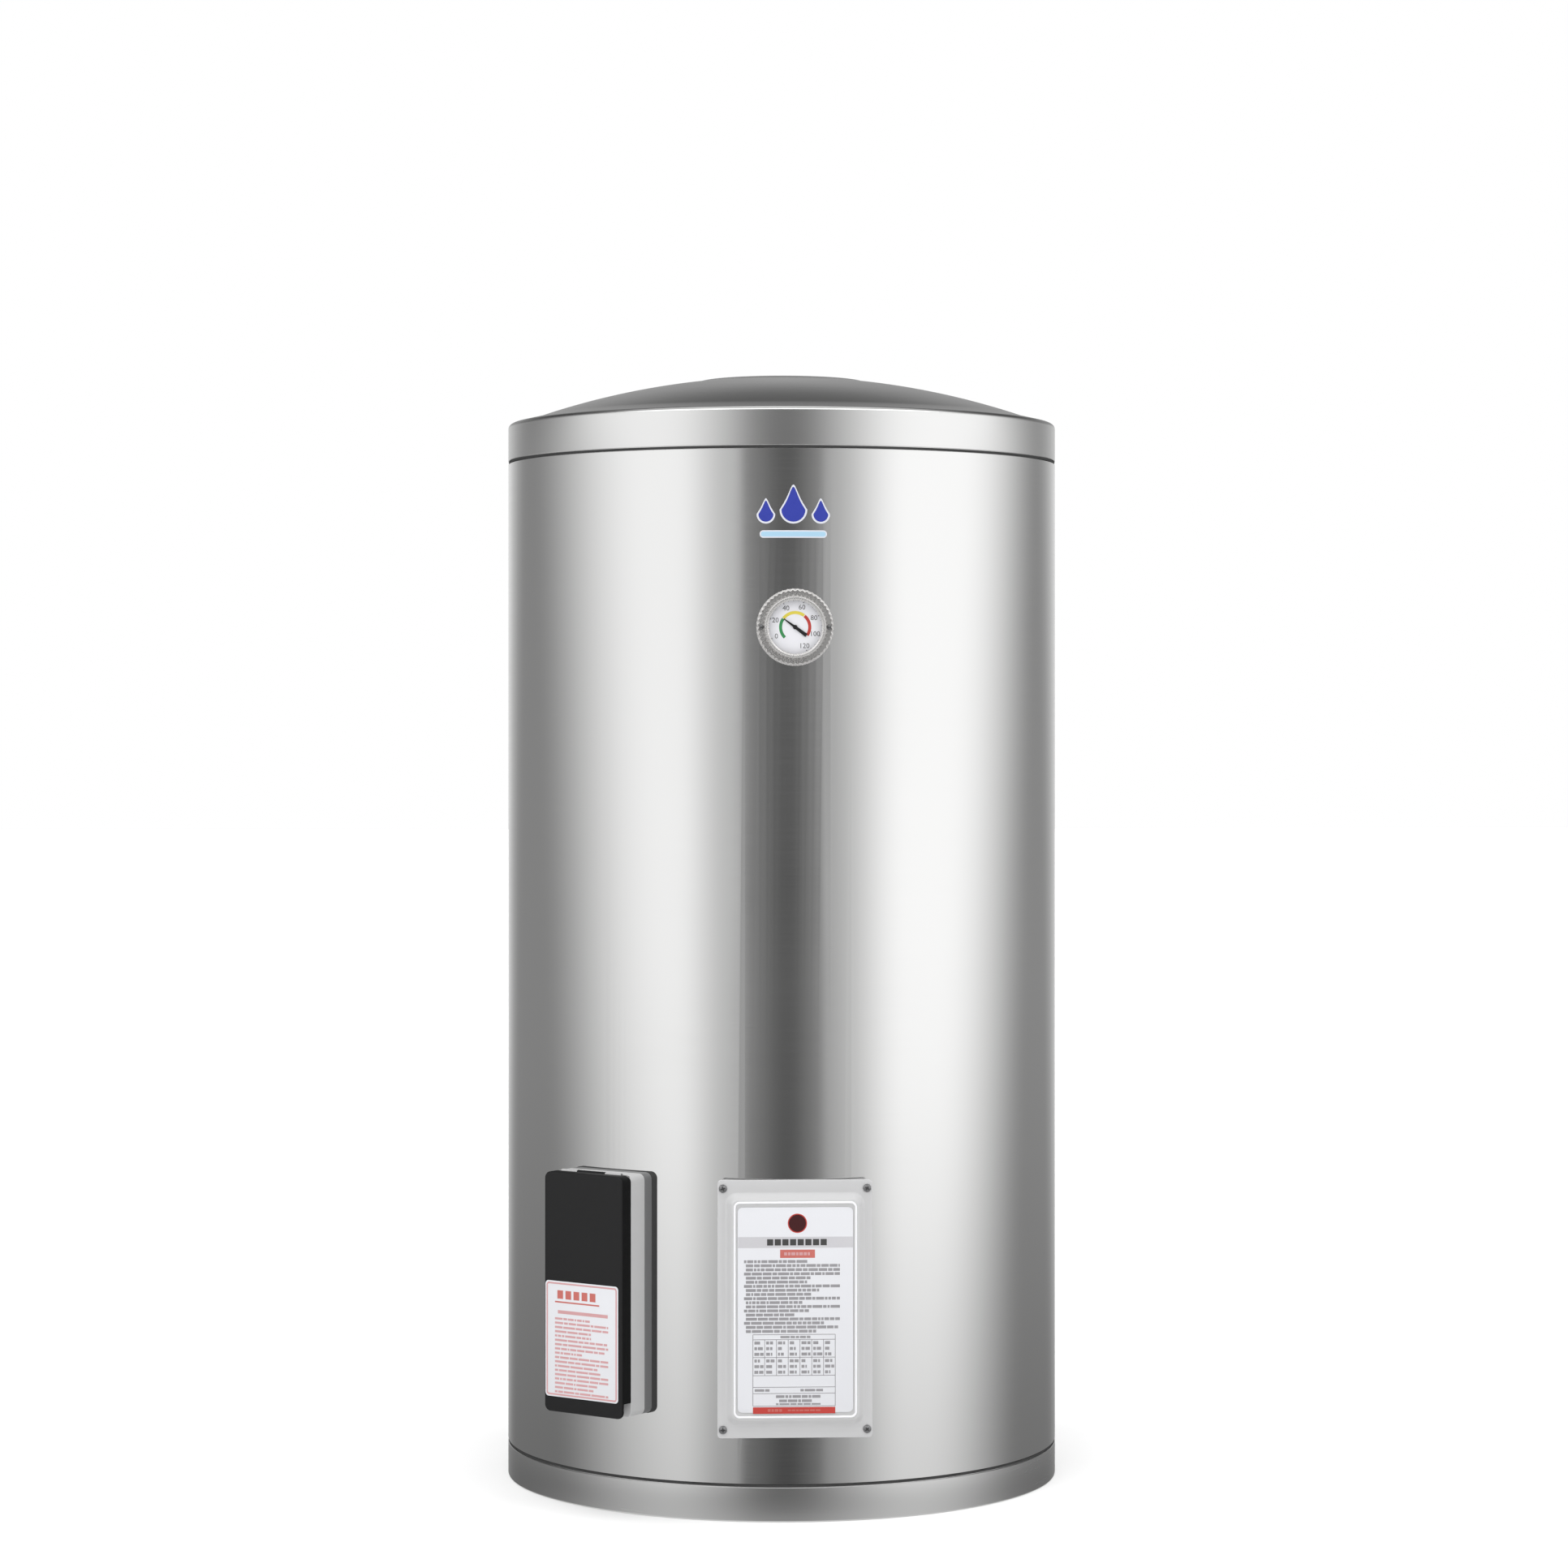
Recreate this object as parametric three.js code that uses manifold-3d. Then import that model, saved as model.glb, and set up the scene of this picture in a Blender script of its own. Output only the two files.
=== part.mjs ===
// A tank water heater: an upright electric storage heater in a stainless steel jacket, with a dial
// thermometer, a switch box with a lift-up cover, and an access panel over its heating element.
// Millimetres, +Z up. The origin is the centre of the bottom rim and the front faces -Y.
//
// Pieces that face outwards are drawn in a "facing" frame: x to the right, y up, and z outwards
// from the tank's axis. facing() turns that frame to its place round the tank.
import * as THREE from "three";
import { mergeVertices } from "three/addons/utils/BufferGeometryUtils.js";
import Module from "manifold-3d";

const wasm = await Module();
wasm.setup();

// ---------------------------------------------------------------- driving dimensions

const GAP = 0.3; // kept between pieces that touch
const FAR = 600; // past the end of anything that a tool cuts
const ROUND = 48; // sides of the jacket and its covers
const HIDDEN_ROUND = 24; // sides of the tank and the foam
const DISC_ROUND = 20; // sides of the thermometer and the element's flange
const SMALL_ROUND = 16; // sides of fittings
const HOLE_ROUND = 8; // sides of screws and small holes

// Jacket and covers
const SHELL_R = 233.5;
const SHELL_T = 0.8;
const SEAM_LOW = 29;
const SEAM_HIGH = 859.5;
const SEAL_H = 2;
const COLLAR_R = SHELL_R - SHELL_T - 0.5; // the covers' collars, inside the jacket
const COLLAR_T = 1.5;
const COLLAR_H = 14;
const BAND_TOP = 888.5; // end of the top cover's upright band
const CORNER_R = 4;
const FLANGE_SLOPE = 11; // degrees, just inside the corner
const DOME_EDGE_R = 212;
const DOME_EDGE_Z = 896.6;
const DOME_SPHERE_R = 640;
const PLATEAU_R = 70;
const PLATEAU_Z = 930;
const COVER_T = 1.2;
const FLOOR_Z = 58; // top of the recessed bottom plate
const FLOOR_T = 1.5;

// Tank
const TANK_R = 190;
const TANK_T = 1.5;
const TANK_LOW = 112; // where the straight wall starts and ends
const TANK_HIGH = 806;
const TANK_DOME = 38;
const ANODE_R = 9.5;
const ANODE_LENGTH = 374;

// Pipes and valves below the tank
const PIPE_X = 100;
const PIPE_Y = 60;
const PIPE_R = 10.5;
const PIPE_BORE = 8;
const PIPE_END_Z = 10;
const VALVE_STEM_R = 8;
const DRAIN_Y = -70;
const RELIEF_Y = 120;
const RELIEF_PIVOT = [-16.5, 31]; // y from the valve's axis, and height
const VALVE_BORE = 4.5;
const DRAIN_SPINDLE_Z = 37;
const RELIEF_OUTLET_Z = 38;
const GLAND = [-118, -132];
const GLAND_R = 8;
const PORT_COLLAR_R = 17;

// Heating element, behind the access panel
const ELEMENT_Z = 160;
const NECK_R = 43;
const NECK_BORE = 28;
const NECK_FACE = 200; // from the tank's axis
const GASKET_T = 2;
const FLANGE_BACK = NECK_FACE + GASKET_T + 2 * GAP;
const FLANGE_FRONT = FLANGE_BACK + 7;
const FLANGE_BOLT_R = 35.5;
const LOOP_X = 14;
const LOOP_BEND = 18;
const LOOP_R = 4;
const THERMOSTAT_Z = 231;
const THERMOSTAT_FACE = 212;
const DIAL_SPOT = [-11, 0];
const RESET_SPOT = [16, 6];

// Access panel
const PANEL_Z = 171;
const PANEL_W = 124;
const PANEL_H = 206;
const PANEL_FACE = 236;
const PANEL_T = 1.5;
const EMBOSS_W = 112;
const EMBOSS_H = 186;
const EMBOSS_SLOPE = 5;
const EMBOSS_FACE = 241;
const BEAD_H = 0.8;
const LABEL_W = 94.5;
const LABEL_H = 167;
const SCREW_X = 57.6;
const SCREW_Y = 96.2;
const SCREW_HOLE_R = 2.1;
const WINDOW_W = 92; // opening in the jacket
const WINDOW_H = 166;
const WINDOW_CORNER = 6;

// Thermometer
const GAUGE_Z = 715;
const GAUGE_R = 31;
const GAUGE_CASE_R = 23.4;
const GAUGE_FRONT = 243.2; // from the tank's axis
const DIAL_FACE = 237.8;
const GAUGE_SCREW_R = 27;
const GAUGE_STEM_R = 3.5;
const SPINDLE_R = 0.8;
const POINTER_ANGLE = 143.6; // degrees from the dial's 3 o'clock, at rest

// Switch box, turned to the left of the front
const BOX_TURN = -37.7; // degrees
const BOX_W = 78.5;
const BOX_H = 193;
const BOX_Z = 181;
const BOX_CORNER = 5.5;
const WALL = 2.5;
const WIRE_HOLE_R = 12;
const WIRE_HOLE_Y = -40; // below the box's centre
const GASKET_FACE = 237;
const BASE_FACE = 246.5;
const FRAME_FACE = 264.6;
const DOOR_BACK = 264.9;
const DOOR_FACE = 276.6;
const FINGER_GAP = 12; // the door's side walls stop this far above its bottom edge
const HINGE_R = 2.2;
const HINGE_Y = BOX_H / 2 - 0.4; // just under the box's top
const HINGE_Z = (FRAME_FACE + DOOR_BACK) / 2;
const HINGE_HALF = 30;
const KNUCKLE_HALF = 14;
const DOOR_LABEL = [73.5, 93];
const DOOR_LABEL_SPOT = [-1, -37.5];
const FASCIA_FACE = 261.7;
const BREAKER_Y = 24; // breaker's centre above the box's centre
const TOGGLE_TILT = 18; // degrees above level when on
const TOGGLE_AXIS_Z = 259;
const TEST_SPOT = [7, BREAKER_Y - 20];
const LAMP_Y = BREAKER_Y + 47;

// Wall brackets
const BRACKET_H = 50;
const BRACKET_LOW = 200;
const BRACKET_HIGH = 770;
const BRACKET_T = 3;
const BRACKET_LEG_X = 107;
const BRACKET_EAR_X = 168;
const BRACKET_SLOT_X = 145;

// ---------------------------------------------------------------- materials

const steel = { color: 0xc9cacb, roughness: 0.28, metalness: 1 };
const darkSteel = { color: 0x8d9093, roughness: 0.4, metalness: 1 };
const screwSteel = { color: 0x5a5d60, roughness: 0.4, metalness: 1 };
const bracketSteel = { color: 0xb4b7b9, roughness: 0.45, metalness: 1 };
const brass = { color: 0xb9944a, roughness: 0.35, metalness: 1 };
const magnesium = { color: 0x9a9c9e, roughness: 0.6, metalness: 1 };
const rubber = { color: 0x1d1d1e, roughness: 0.75, metalness: 0 };
const blackPlastic = { color: 0x1b1b1c, roughness: 0.45, metalness: 0 };
const silverPlastic = { color: 0xbfc1c2, roughness: 0.4, metalness: 0.2 };
const greyPlastic = { color: 0x77797b, roughness: 0.5, metalness: 0 };
const whitePlastic = { color: 0xe8e8ea, roughness: 0.4, metalness: 0 };
const bluePlastic = { color: 0x1f57b5, roughness: 0.4, metalness: 0 };
const redPlastic = { color: 0xb5211d, roughness: 0.4, metalness: 0 };
const greenPlastic = { color: 0x1f9a4a, roughness: 0.25, metalness: 0 };
const foam = { color: 0xe3d59a, roughness: 0.9, metalness: 0 };
const label = { color: 0xeceef2, roughness: 0.5, metalness: 0 };
const clearLens = { color: 0xf4f8fa, roughness: 0.05, metalness: 0 };

// ---------------------------------------------------------------- shapes

const radians = THREE.MathUtils.degToRad;

// A solid of revolution about z. The outline is a list of [radius, height], anticlockwise. It starts
// and ends on the axis, or closes on itself.
function turned(outline, sides = SMALL_ROUND) {
  const points = outline.map(([r, z]) => new THREE.Vector2(r, z));
  if (outline[0][0] > 0) points.push(points[0].clone());
  return new THREE.LatheGeometry(points, sides).rotateX(Math.PI / 2);
}

function tube(outer, inner, z0, z1, sides = SMALL_ROUND) {
  return turned([[inner, z0], [outer, z0], [outer, z1], [inner, z1]], sides);
}

function rod(r, z0, z1, x = 0, y = 0, sides = SMALL_ROUND) {
  return turned([[0, z0], [r, z0], [r, z1], [0, z1]], sides).translate(x, y, 0);
}

// A rod along x.
function crossRod(r, x0, x1, y, z, sides = SMALL_ROUND) {
  return rod(r, x0, x1, 0, 0, sides).rotateY(Math.PI / 2).translate(0, y, z);
}

// A tall cylinder round the tank's axis, in the facing frame.
function pillar(r, sides = ROUND) {
  return turned([[0, -FAR], [r, -FAR], [r, FAR], [0, FAR]], sides).rotateX(-Math.PI / 2);
}

function block([x0, x1], [y0, y1], [z0, z1]) {
  const box = new THREE.BoxGeometry(x1 - x0, y1 - y0, z1 - z0);
  return box.translate((x0 + x1) / 2, (y0 + y1) / 2, (z0 + z1) / 2);
}

function roundedOutline(w, h, corner) {
  const x = w / 2;
  const y = h / 2;
  const outline = new THREE.Shape();
  outline.moveTo(x - corner, -y);
  outline.absarc(x - corner, corner - y, corner, -Math.PI / 2, 0);
  outline.absarc(x - corner, y - corner, corner, 0, Math.PI / 2);
  outline.absarc(corner - x, y - corner, corner, Math.PI / 2, Math.PI);
  outline.absarc(corner - x, corner - y, corner, Math.PI, Math.PI * 1.5);
  return outline;
}

// A rounded plate between two heights, its far edge bevelled if asked.
function plate(w, h, corner, z0, z1, bevel = 0, curveSegments = 3) {
  const outline = roundedOutline(w, h, corner);
  const settings = { depth: z1 - z0 - bevel, bevelEnabled: bevel > 0, curveSegments };
  if (!bevel) return new THREE.ExtrudeGeometry(outline, settings).translate(0, 0, z0);
  Object.assign(settings, { depth: z1 - z0, bevelSegments: 1 });
  Object.assign(settings, { bevelThickness: bevel, bevelSize: bevel, bevelOffset: -bevel });
  const bevelled = new THREE.ExtrudeGeometry(outline, settings).translate(0, 0, z0 - bevel);
  return cut(bevelled, block([-FAR, FAR], [-FAR, FAR], [z0 - FAR, z0]));
}

// Half a ring in the z-y plane, opening towards +z, with two legs: a bent heating rod.
function hairpin(r, bend, z0, z1, x, y, sides = 8) {
  const ring = new THREE.TorusGeometry(bend, r, sides, 16).rotateY(Math.PI / 2);
  const half = common(ring, block([-FAR, FAR], [-FAR, FAR], [-FAR, 0])).translate(x, y, z0 + bend);
  const legs = [-bend, bend].map((offset) => rod(r, z0 + bend - 0.5, z1, x, y + offset, sides));
  return join(half, ...legs);
}

// Turns a shape from the facing frame to its place: height up the tank, degrees round from the front.
function facing(shape, height = 0, turn = 0) {
  return shape.clone().rotateX(Math.PI / 2).rotateZ(radians(turn)).translate(0, 0, height);
}

// ---------------------------------------------------------------- joins and cuts

function solidOf(geometry) {
  const bare = geometry.clone();
  bare.deleteAttribute("normal");
  bare.deleteAttribute("uv");
  const merged = mergeVertices(bare);
  return new wasm.Manifold(
    new wasm.Mesh({
      numProp: 3,
      vertProperties: new Float32Array(merged.attributes.position.array),
      triVerts: new Uint32Array(merged.index.array),
    }),
  );
}

function geometryOf(solid) {
  const mesh = solid.getMesh();
  const positions = new Float32Array(mesh.numVert * 3);
  for (let i = 0; i < mesh.numVert; i++) {
    positions.set(mesh.vertProperties.subarray(i * mesh.numProp, i * mesh.numProp + 3), i * 3);
  }
  const geometry = new THREE.BufferGeometry();
  geometry.setAttribute("position", new THREE.BufferAttribute(positions, 3));
  geometry.setIndex(new THREE.BufferAttribute(mesh.triVerts, 1));
  return geometry;
}

function join(...shapes) {
  return geometryOf(shapes.map(solidOf).reduce((a, b) => a.add(b)));
}

function cut(shape, ...tools) {
  return geometryOf(tools.map(solidOf).reduce((a, b) => a.subtract(b), solidOf(shape)));
}

function common(a, b) {
  return geometryOf(solidOf(a).intersect(solidOf(b)));
}

function mesh(name, shape, look) {
  const geometry = shape.index ? shape.toNonIndexed() : shape;
  geometry.computeVertexNormals();
  const made = new THREE.Mesh(geometry, new THREE.MeshStandardMaterial(look));
  made.name = name;
  return made;
}

// A group whose children are drawn in the facing frame.
function facingGroup(height, turn, ...children) {
  const upright = new THREE.Group();
  upright.rotation.x = Math.PI / 2;
  upright.add(...children);
  const turnedGroup = new THREE.Group();
  turnedGroup.rotation.z = radians(turn);
  turnedGroup.position.z = height;
  turnedGroup.add(upright);
  return turnedGroup;
}

// ---------------------------------------------------------------- jacket and covers

function domeZ(r) {
  const sphere = (radius) => Math.sqrt(DOME_SPHERE_R ** 2 - radius ** 2);
  return DOME_EDGE_Z + sphere(r) - sphere(DOME_EDGE_R);
}

function outerShell() {
  const jacket = tube(
    SHELL_R,
    SHELL_R - SHELL_T,
    SEAM_LOW + SEAL_H / 2 + GAP,
    SEAM_HIGH - SEAL_H / 2 - GAP,
    ROUND,
  );
  const window = plate(WINDOW_W, WINDOW_H, WINDOW_CORNER, TANK_R, SHELL_R + 10);
  const gaugeHole = rod(GAUGE_CASE_R + GAP, TANK_R, SHELL_R + 10, 0, 0, DISC_ROUND);
  const screwHoles = [-1, 1].map((side) => rod(1.6, TANK_R, FAR, side * GAUGE_SCREW_R, 0, HOLE_ROUND));
  const wireHole = rod(WIRE_HOLE_R + 0.5, TANK_R, SHELL_R + 10, 0, WIRE_HOLE_Y);
  return cut(
    jacket,
    facing(window, PANEL_Z),
    facing(gaugeHole, GAUGE_Z),
    ...screwHoles.map((hole) => facing(hole, GAUGE_Z)),
    facing(wireHole, BOX_Z, BOX_TURN),
  );
}

// The upright band, the rounded corner, a shallow flange, the dome and its flat centre.
function topCover() {
  const slope = radians(FLANGE_SLOPE);
  const corner = [];
  const cornerSteps = 2;
  for (let i = 0; i <= cornerSteps; i++) {
    const a = (i / cornerSteps) * (Math.PI / 2 - slope);
    corner.push([SHELL_R - CORNER_R + CORNER_R * Math.cos(a), BAND_TOP + CORNER_R * Math.sin(a)]);
  }
  const dome = [DOME_EDGE_R, 170, 122, PLATEAU_R + 3].map((r) => [r, domeZ(r)]);
  const plateau = [[PLATEAU_R, PLATEAU_Z], [0, PLATEAU_Z]];
  const inside = [0, PLATEAU_R, 145, DOME_EDGE_R].map((r) => [r, domeZ(Math.max(r, PLATEAU_R)) - COVER_T]);
  const collarInner = COLLAR_R - COLLAR_T;
  const seam = SEAM_HIGH + SEAL_H / 2 + GAP;
  const skirt = [
    [collarInner, BAND_TOP],
    [collarInner, seam - COLLAR_H],
    [COLLAR_R, seam - COLLAR_H],
    [COLLAR_R, seam],
    [SHELL_R, seam],
  ];
  return turned([...inside, ...skirt, ...corner, ...dome, ...plateau], ROUND);
}

function bottomBand() {
  const inner = COLLAR_R - COLLAR_T;
  const seam = SEAM_LOW - SEAL_H / 2 - GAP;
  const hem = 1.2;
  return turned(
    [
      [inner, hem],
      [inner + hem, 0],
      [SHELL_R - hem, 0],
      [SHELL_R, hem],
      [SHELL_R, seam],
      [COLLAR_R, seam],
      [COLLAR_R, FLOOR_Z],
      [inner, FLOOR_Z],
    ],
    ROUND,
  );
}

// The recessed plate that the pipes and valves pass through.
function bottomPlate() {
  const disc = rod(COLLAR_R - COLLAR_T - GAP, FLOOR_Z - FLOOR_T, FLOOR_Z, 0, 0, ROUND);
  return cut(disc, ...underHoles(0.5), rod(GLAND_R + 0.5, 0, FAR, ...GLAND));
}

// Holes for the two pipes and the two valves, with this much clearance.
function underHoles(clearance) {
  const pipes = [-1, 1].map((side) => rod(PIPE_R + clearance, -FAR, 300, side * PIPE_X, PIPE_Y));
  const valves = [DRAIN_Y, RELIEF_Y].map((y) => rod(VALVE_STEM_R + clearance, -FAR, 300, 0, y));
  return [...pipes, ...valves];
}

function sealRing(z) {
  return tube(SHELL_R - 0.4, COLLAR_R + GAP, z - SEAL_H / 2, z + SEAL_H / 2, ROUND);
}

// ---------------------------------------------------------------- tank and foam

// One end of the tank, as points from the axis outwards.
function tankEnd(grow, direction, edge) {
  const steps = 4;
  const points = [];
  for (let i = 0; i <= steps; i++) {
    const a = (Math.PI / 2) * (1 - i / steps);
    const r = i ? (TANK_R + grow) * Math.cos(a) : 0;
    points.push([r, edge + direction * (TANK_DOME + grow) * Math.sin(a)]);
  }
  return points;
}

function tankOutline(grow) {
  return [...tankEnd(grow, -1, TANK_LOW), ...tankEnd(grow, 1, TANK_HIGH).reverse()];
}

function innerTank() {
  const neck = facing(rod(NECK_R, TANK_R - 8, NECK_FACE, 0, 0, DISC_ROUND), ELEMENT_Z);
  const body = join(turned(tankOutline(0), HIDDEN_ROUND), neck);
  return cut(
    body,
    turned(tankOutline(-TANK_T), HIDDEN_ROUND),
    facing(rod(NECK_BORE, 60, FAR, 0, 0, DISC_ROUND), ELEMENT_Z),
    ...boltSpots().map(([x, y]) => facing(rod(3.4, NECK_FACE - 14, FAR, x, y, HOLE_ROUND), ELEMENT_Z)),
    facing(rod(GAUGE_STEM_R + 0.4, 60, FAR), GAUGE_Z),
    rod(ANODE_R + 0.4, 600, FAR + 400),
    ...underHoles(0.4),
  );
}

function foamJacket() {
  const ring = tube(SHELL_R - 1.5, TANK_R + 0.5, TANK_LOW + 0.5, TANK_HIGH - GAP, HIDDEN_ROUND);
  const well = plate(WINDOW_W + 4, WINDOW_H + 4, WINDOW_CORNER, TANK_R - 20, FAR);
  return cut(ring, facing(well, PANEL_Z), facing(rod(25, TANK_R - 20, FAR), GAUGE_Z));
}

function foamTop() {
  const outer = COLLAR_R - COLLAR_T - 0.8;
  const below = tankEnd(0.5, 1, TANK_HIGH);
  const above = [200, 140, PLATEAU_R].map((r) => [r, domeZ(r) - COVER_T - 1.5]);
  const crown = [0, domeZ(PLATEAU_R) - COVER_T - 1.5];
  const cap = turned([...below, [outer, TANK_HIGH], [outer, BAND_TOP - 2], ...above, crown], HIDDEN_ROUND);
  return cut(cap, rod(17, 600, FAR + 400));
}

function foamBottom() {
  const above = tankEnd(0.5, -1, TANK_LOW).reverse();
  const outer = SHELL_R - 1.5;
  const floor = FLOOR_Z + GAP;
  const slab = turned([[0, floor], [outer, floor], [outer, TANK_LOW], ...above], HIDDEN_ROUND);
  const well = plate(WINDOW_W + 4, WINDOW_H + 4, WINDOW_CORNER, TANK_R - 20, FAR);
  return cut(slab, ...underHoles(1), rod(GLAND_R + 1, 0, FAR, ...GLAND), facing(well, PANEL_Z));
}

function anodeRod() {
  const seat = TANK_HIGH + TANK_DOME + GAP;
  const end = seat - ANODE_LENGTH;
  const headR = 15;
  const headTop = seat + 12;
  return turned([
    [0, end],
    [ANODE_R, end],
    [ANODE_R, seat],
    [headR, seat],
    [headR, headTop],
    [0, headTop],
  ]);
}

// ---------------------------------------------------------------- pipes and valves

// A pipe with a bore right through, from below the tank to the given height inside it.
function waterPipe(top) {
  return tube(PIPE_R, PIPE_BORE, PIPE_END_Z, top);
}

function portCollar() {
  return tube(PORT_COLLAR_R, PIPE_R + 0.5, FLOOR_Z - 6, FLOOR_Z - FLOOR_T - GAP);
}

// A stem into the tank, a hexagonal body and an outlet below it, with a bore through all three.
function drainValveBody() {
  const stem = rod(VALVE_STEM_R, 40, 100);
  const body = rod(14, 24, 50, 0, 0, 6);
  const outlet = rod(7.5, 8, 30);
  const spindle = rod(4, 10, 18).rotateX(Math.PI / 2).translate(0, 0, DRAIN_SPINDLE_Z);
  return cut(join(stem, body, outlet, spindle), rod(VALVE_BORE, -FAR, FAR));
}

function drainHandle() {
  const hub = tube(7.5, 4.4, 14.4, 18.5).rotateX(Math.PI / 2);
  const lever = cut(block([4, 36], [-18.5, -15.5], [-4, 4]), rod(4.4, 0, 30).rotateX(Math.PI / 2));
  return join(hub, lever);
}

function reliefValveBody() {
  const stem = rod(VALVE_STEM_R, 44, 100);
  const body = rod(13, 22, 50, 0, 0, 6);
  const outlet = crossRod(7, 6, 28, 0, RELIEF_OUTLET_Z);
  const earEnd = RELIEF_PIVOT[0] - 3;
  const ears = [-5, 5].map((x) => block([x - 1.5, x + 1.5], [earEnd, -9], [26, 36]));
  const solid = join(stem, body, outlet, ...ears);
  const drain = join(rod(VALVE_BORE, 30, FAR), crossRod(VALVE_BORE, 0, 40, 0, RELIEF_OUTLET_Z));
  return cut(solid, drain, crossRod(1.7, -10, 10, ...RELIEF_PIVOT, HOLE_ROUND));
}

// A cranked lever between the relief valve's ears, with its own pivot pin.
function reliefLever() {
  const pin = crossRod(1.2, -6.4, 6.4, ...RELIEF_PIVOT, HOLE_ROUND);
  const arm = block([-3, 3], [-48, -14.5], [29.5, 32.5]);
  return join(arm, pin, crossRod(2.8, -3, 3, ...RELIEF_PIVOT));
}

function cableGland() {
  const nut = rod(12, FLOOR_Z - 12, FLOOR_Z - FLOOR_T - GAP, 0, 0, 6);
  const thread = rod(GLAND_R, FLOOR_Z - 20, FLOOR_Z + 0.1);
  return cut(join(nut, thread), rod(GLAND_R / 2, 0, FAR));
}

function underFittings() {
  const cold = mesh("cold_inlet_pipe", waterPipe(170), steel);
  cold.position.set(PIPE_X, PIPE_Y, 0);
  const hot = mesh("hot_outlet_pipe", waterPipe(815), steel);
  hot.position.set(-PIPE_X, PIPE_Y, 0);
  const coldCollar = mesh("cold_port_collar", portCollar(), bluePlastic);
  coldCollar.position.copy(cold.position);
  const hotCollar = mesh("hot_port_collar", portCollar(), redPlastic);
  hotCollar.position.copy(hot.position);
  const drain = new THREE.Group();
  drain.position.y = DRAIN_Y;
  const handle = mesh("drain_handle", drainHandle(), redPlastic);
  handle.position.z = DRAIN_SPINDLE_Z;
  drain.add(mesh("drain_valve_body", drainValveBody(), brass), handle);
  const relief = new THREE.Group();
  relief.position.y = RELIEF_Y;
  relief.add(mesh("relief_valve_body", reliefValveBody(), brass));
  relief.add(mesh("relief_lever", reliefLever(), darkSteel));
  const gland = mesh("cable_gland", cableGland(), blackPlastic);
  gland.position.set(...GLAND, 0);
  return [cold, hot, coldCollar, hotCollar, drain, relief, gland];
}

// ---------------------------------------------------------------- heating element and thermostat

function boltSpots() {
  return [45, 135, 225, 315].map((a) => [
    FLANGE_BOLT_R * Math.cos(radians(a)),
    FLANGE_BOLT_R * Math.sin(radians(a)),
  ]);
}

function elementGasket() {
  const ring = tube(NECK_R - 0.5, NECK_BORE + 0.5, NECK_FACE + GAP, NECK_FACE + GAP + GASKET_T, DISC_ROUND);
  return cut(ring, ...boltSpots().map(([x, y]) => rod(3.5, 0, FAR, x, y, HOLE_ROUND)));
}

// The flange, with the closed pocket that reaches into the water for the thermostat's bulb.
function elementFlange() {
  const disc = rod(NECK_R, FLANGE_BACK, FLANGE_FRONT, 0, 0, DISC_ROUND);
  const pocket = rod(5, -40, FLANGE_FRONT - 1);
  const legHoles = [-1, 1].flatMap((side) =>
    [-1, 1].map((end) => rod(LOOP_R + 0.4, FLANGE_BACK - 1, FAR, side * LOOP_X, end * LOOP_BEND, HOLE_ROUND)),
  );
  const boltHoles = boltSpots().map(([x, y]) => rod(3.4, FLANGE_BACK - 1, FAR, x, y, HOLE_ROUND));
  return cut(join(disc, pocket), ...legHoles, ...boltHoles, rod(3.5, -38, FAR, 0, 0, HOLE_ROUND));
}

function flangeBolt() {
  const shank = rod(2.9, FLANGE_BACK - 12, FLANGE_FRONT + 1, 0, 0, HOLE_ROUND);
  return join(shank, rod(5.5, FLANGE_FRONT + GAP, FLANGE_FRONT + 4.3, 0, 0, 6));
}

function heatingElement(side) {
  return hairpin(LOOP_R, LOOP_BEND, -90, FLANGE_FRONT + 8, side * LOOP_X, 0);
}

function thermostatBody() {
  const body = block([-28, 28], [-19, 19], [TANK_R - 10, THERMOSTAT_FACE]);
  const feet = block([-40, 40], [-8, 8], [TANK_R - 20, TANK_R + 3]);
  return cut(
    join(body, feet),
    pillar(TANK_R + 0.4, HIDDEN_ROUND),
    rod(3.3, THERMOSTAT_FACE - 7, FAR, ...DIAL_SPOT, HOLE_ROUND),
    rod(4.4, THERMOSTAT_FACE - 8, FAR, ...RESET_SPOT),
  );
}

function thermostatDial() {
  const dial = rod(9.5, THERMOSTAT_FACE + GAP, THERMOSTAT_FACE + 4.5);
  const spindle = rod(2.9, THERMOSTAT_FACE - 6, THERMOSTAT_FACE + 2, 0, 0, HOLE_ROUND);
  const slot = block([-6, 6], [-0.9, 0.9], [THERMOSTAT_FACE + 3.2, FAR]);
  return cut(join(dial, spindle), slot);
}

function resetButton() {
  return rod(4, THERMOSTAT_FACE - 5, THERMOSTAT_FACE + 3.5, 0, 0);
}

function elementAssembly() {
  const bolts = boltSpots().map(([x, y], i) => {
    const bolt = mesh("flange_bolt_" + (i + 1), flangeBolt(), screwSteel);
    bolt.position.set(x, y, 0);
    return bolt;
  });
  return facingGroup(
    ELEMENT_Z,
    0,
    mesh("element_gasket", elementGasket(), rubber),
    mesh("element_flange", elementFlange(), darkSteel),
    mesh("heating_element_left", heatingElement(-1), darkSteel),
    mesh("heating_element_right", heatingElement(1), darkSteel),
    ...bolts,
  );
}

function thermostatAssembly() {
  const dial = mesh("thermostat_dial", thermostatDial(), greyPlastic);
  dial.position.set(...DIAL_SPOT, 0);
  const reset = mesh("reset_button", resetButton(), redPlastic);
  reset.position.set(...RESET_SPOT, 0);
  return facingGroup(THERMOSTAT_Z, 0, mesh("thermostat_body", thermostatBody(), blackPlastic), dial, reset);
}

// ---------------------------------------------------------------- access panel

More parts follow.
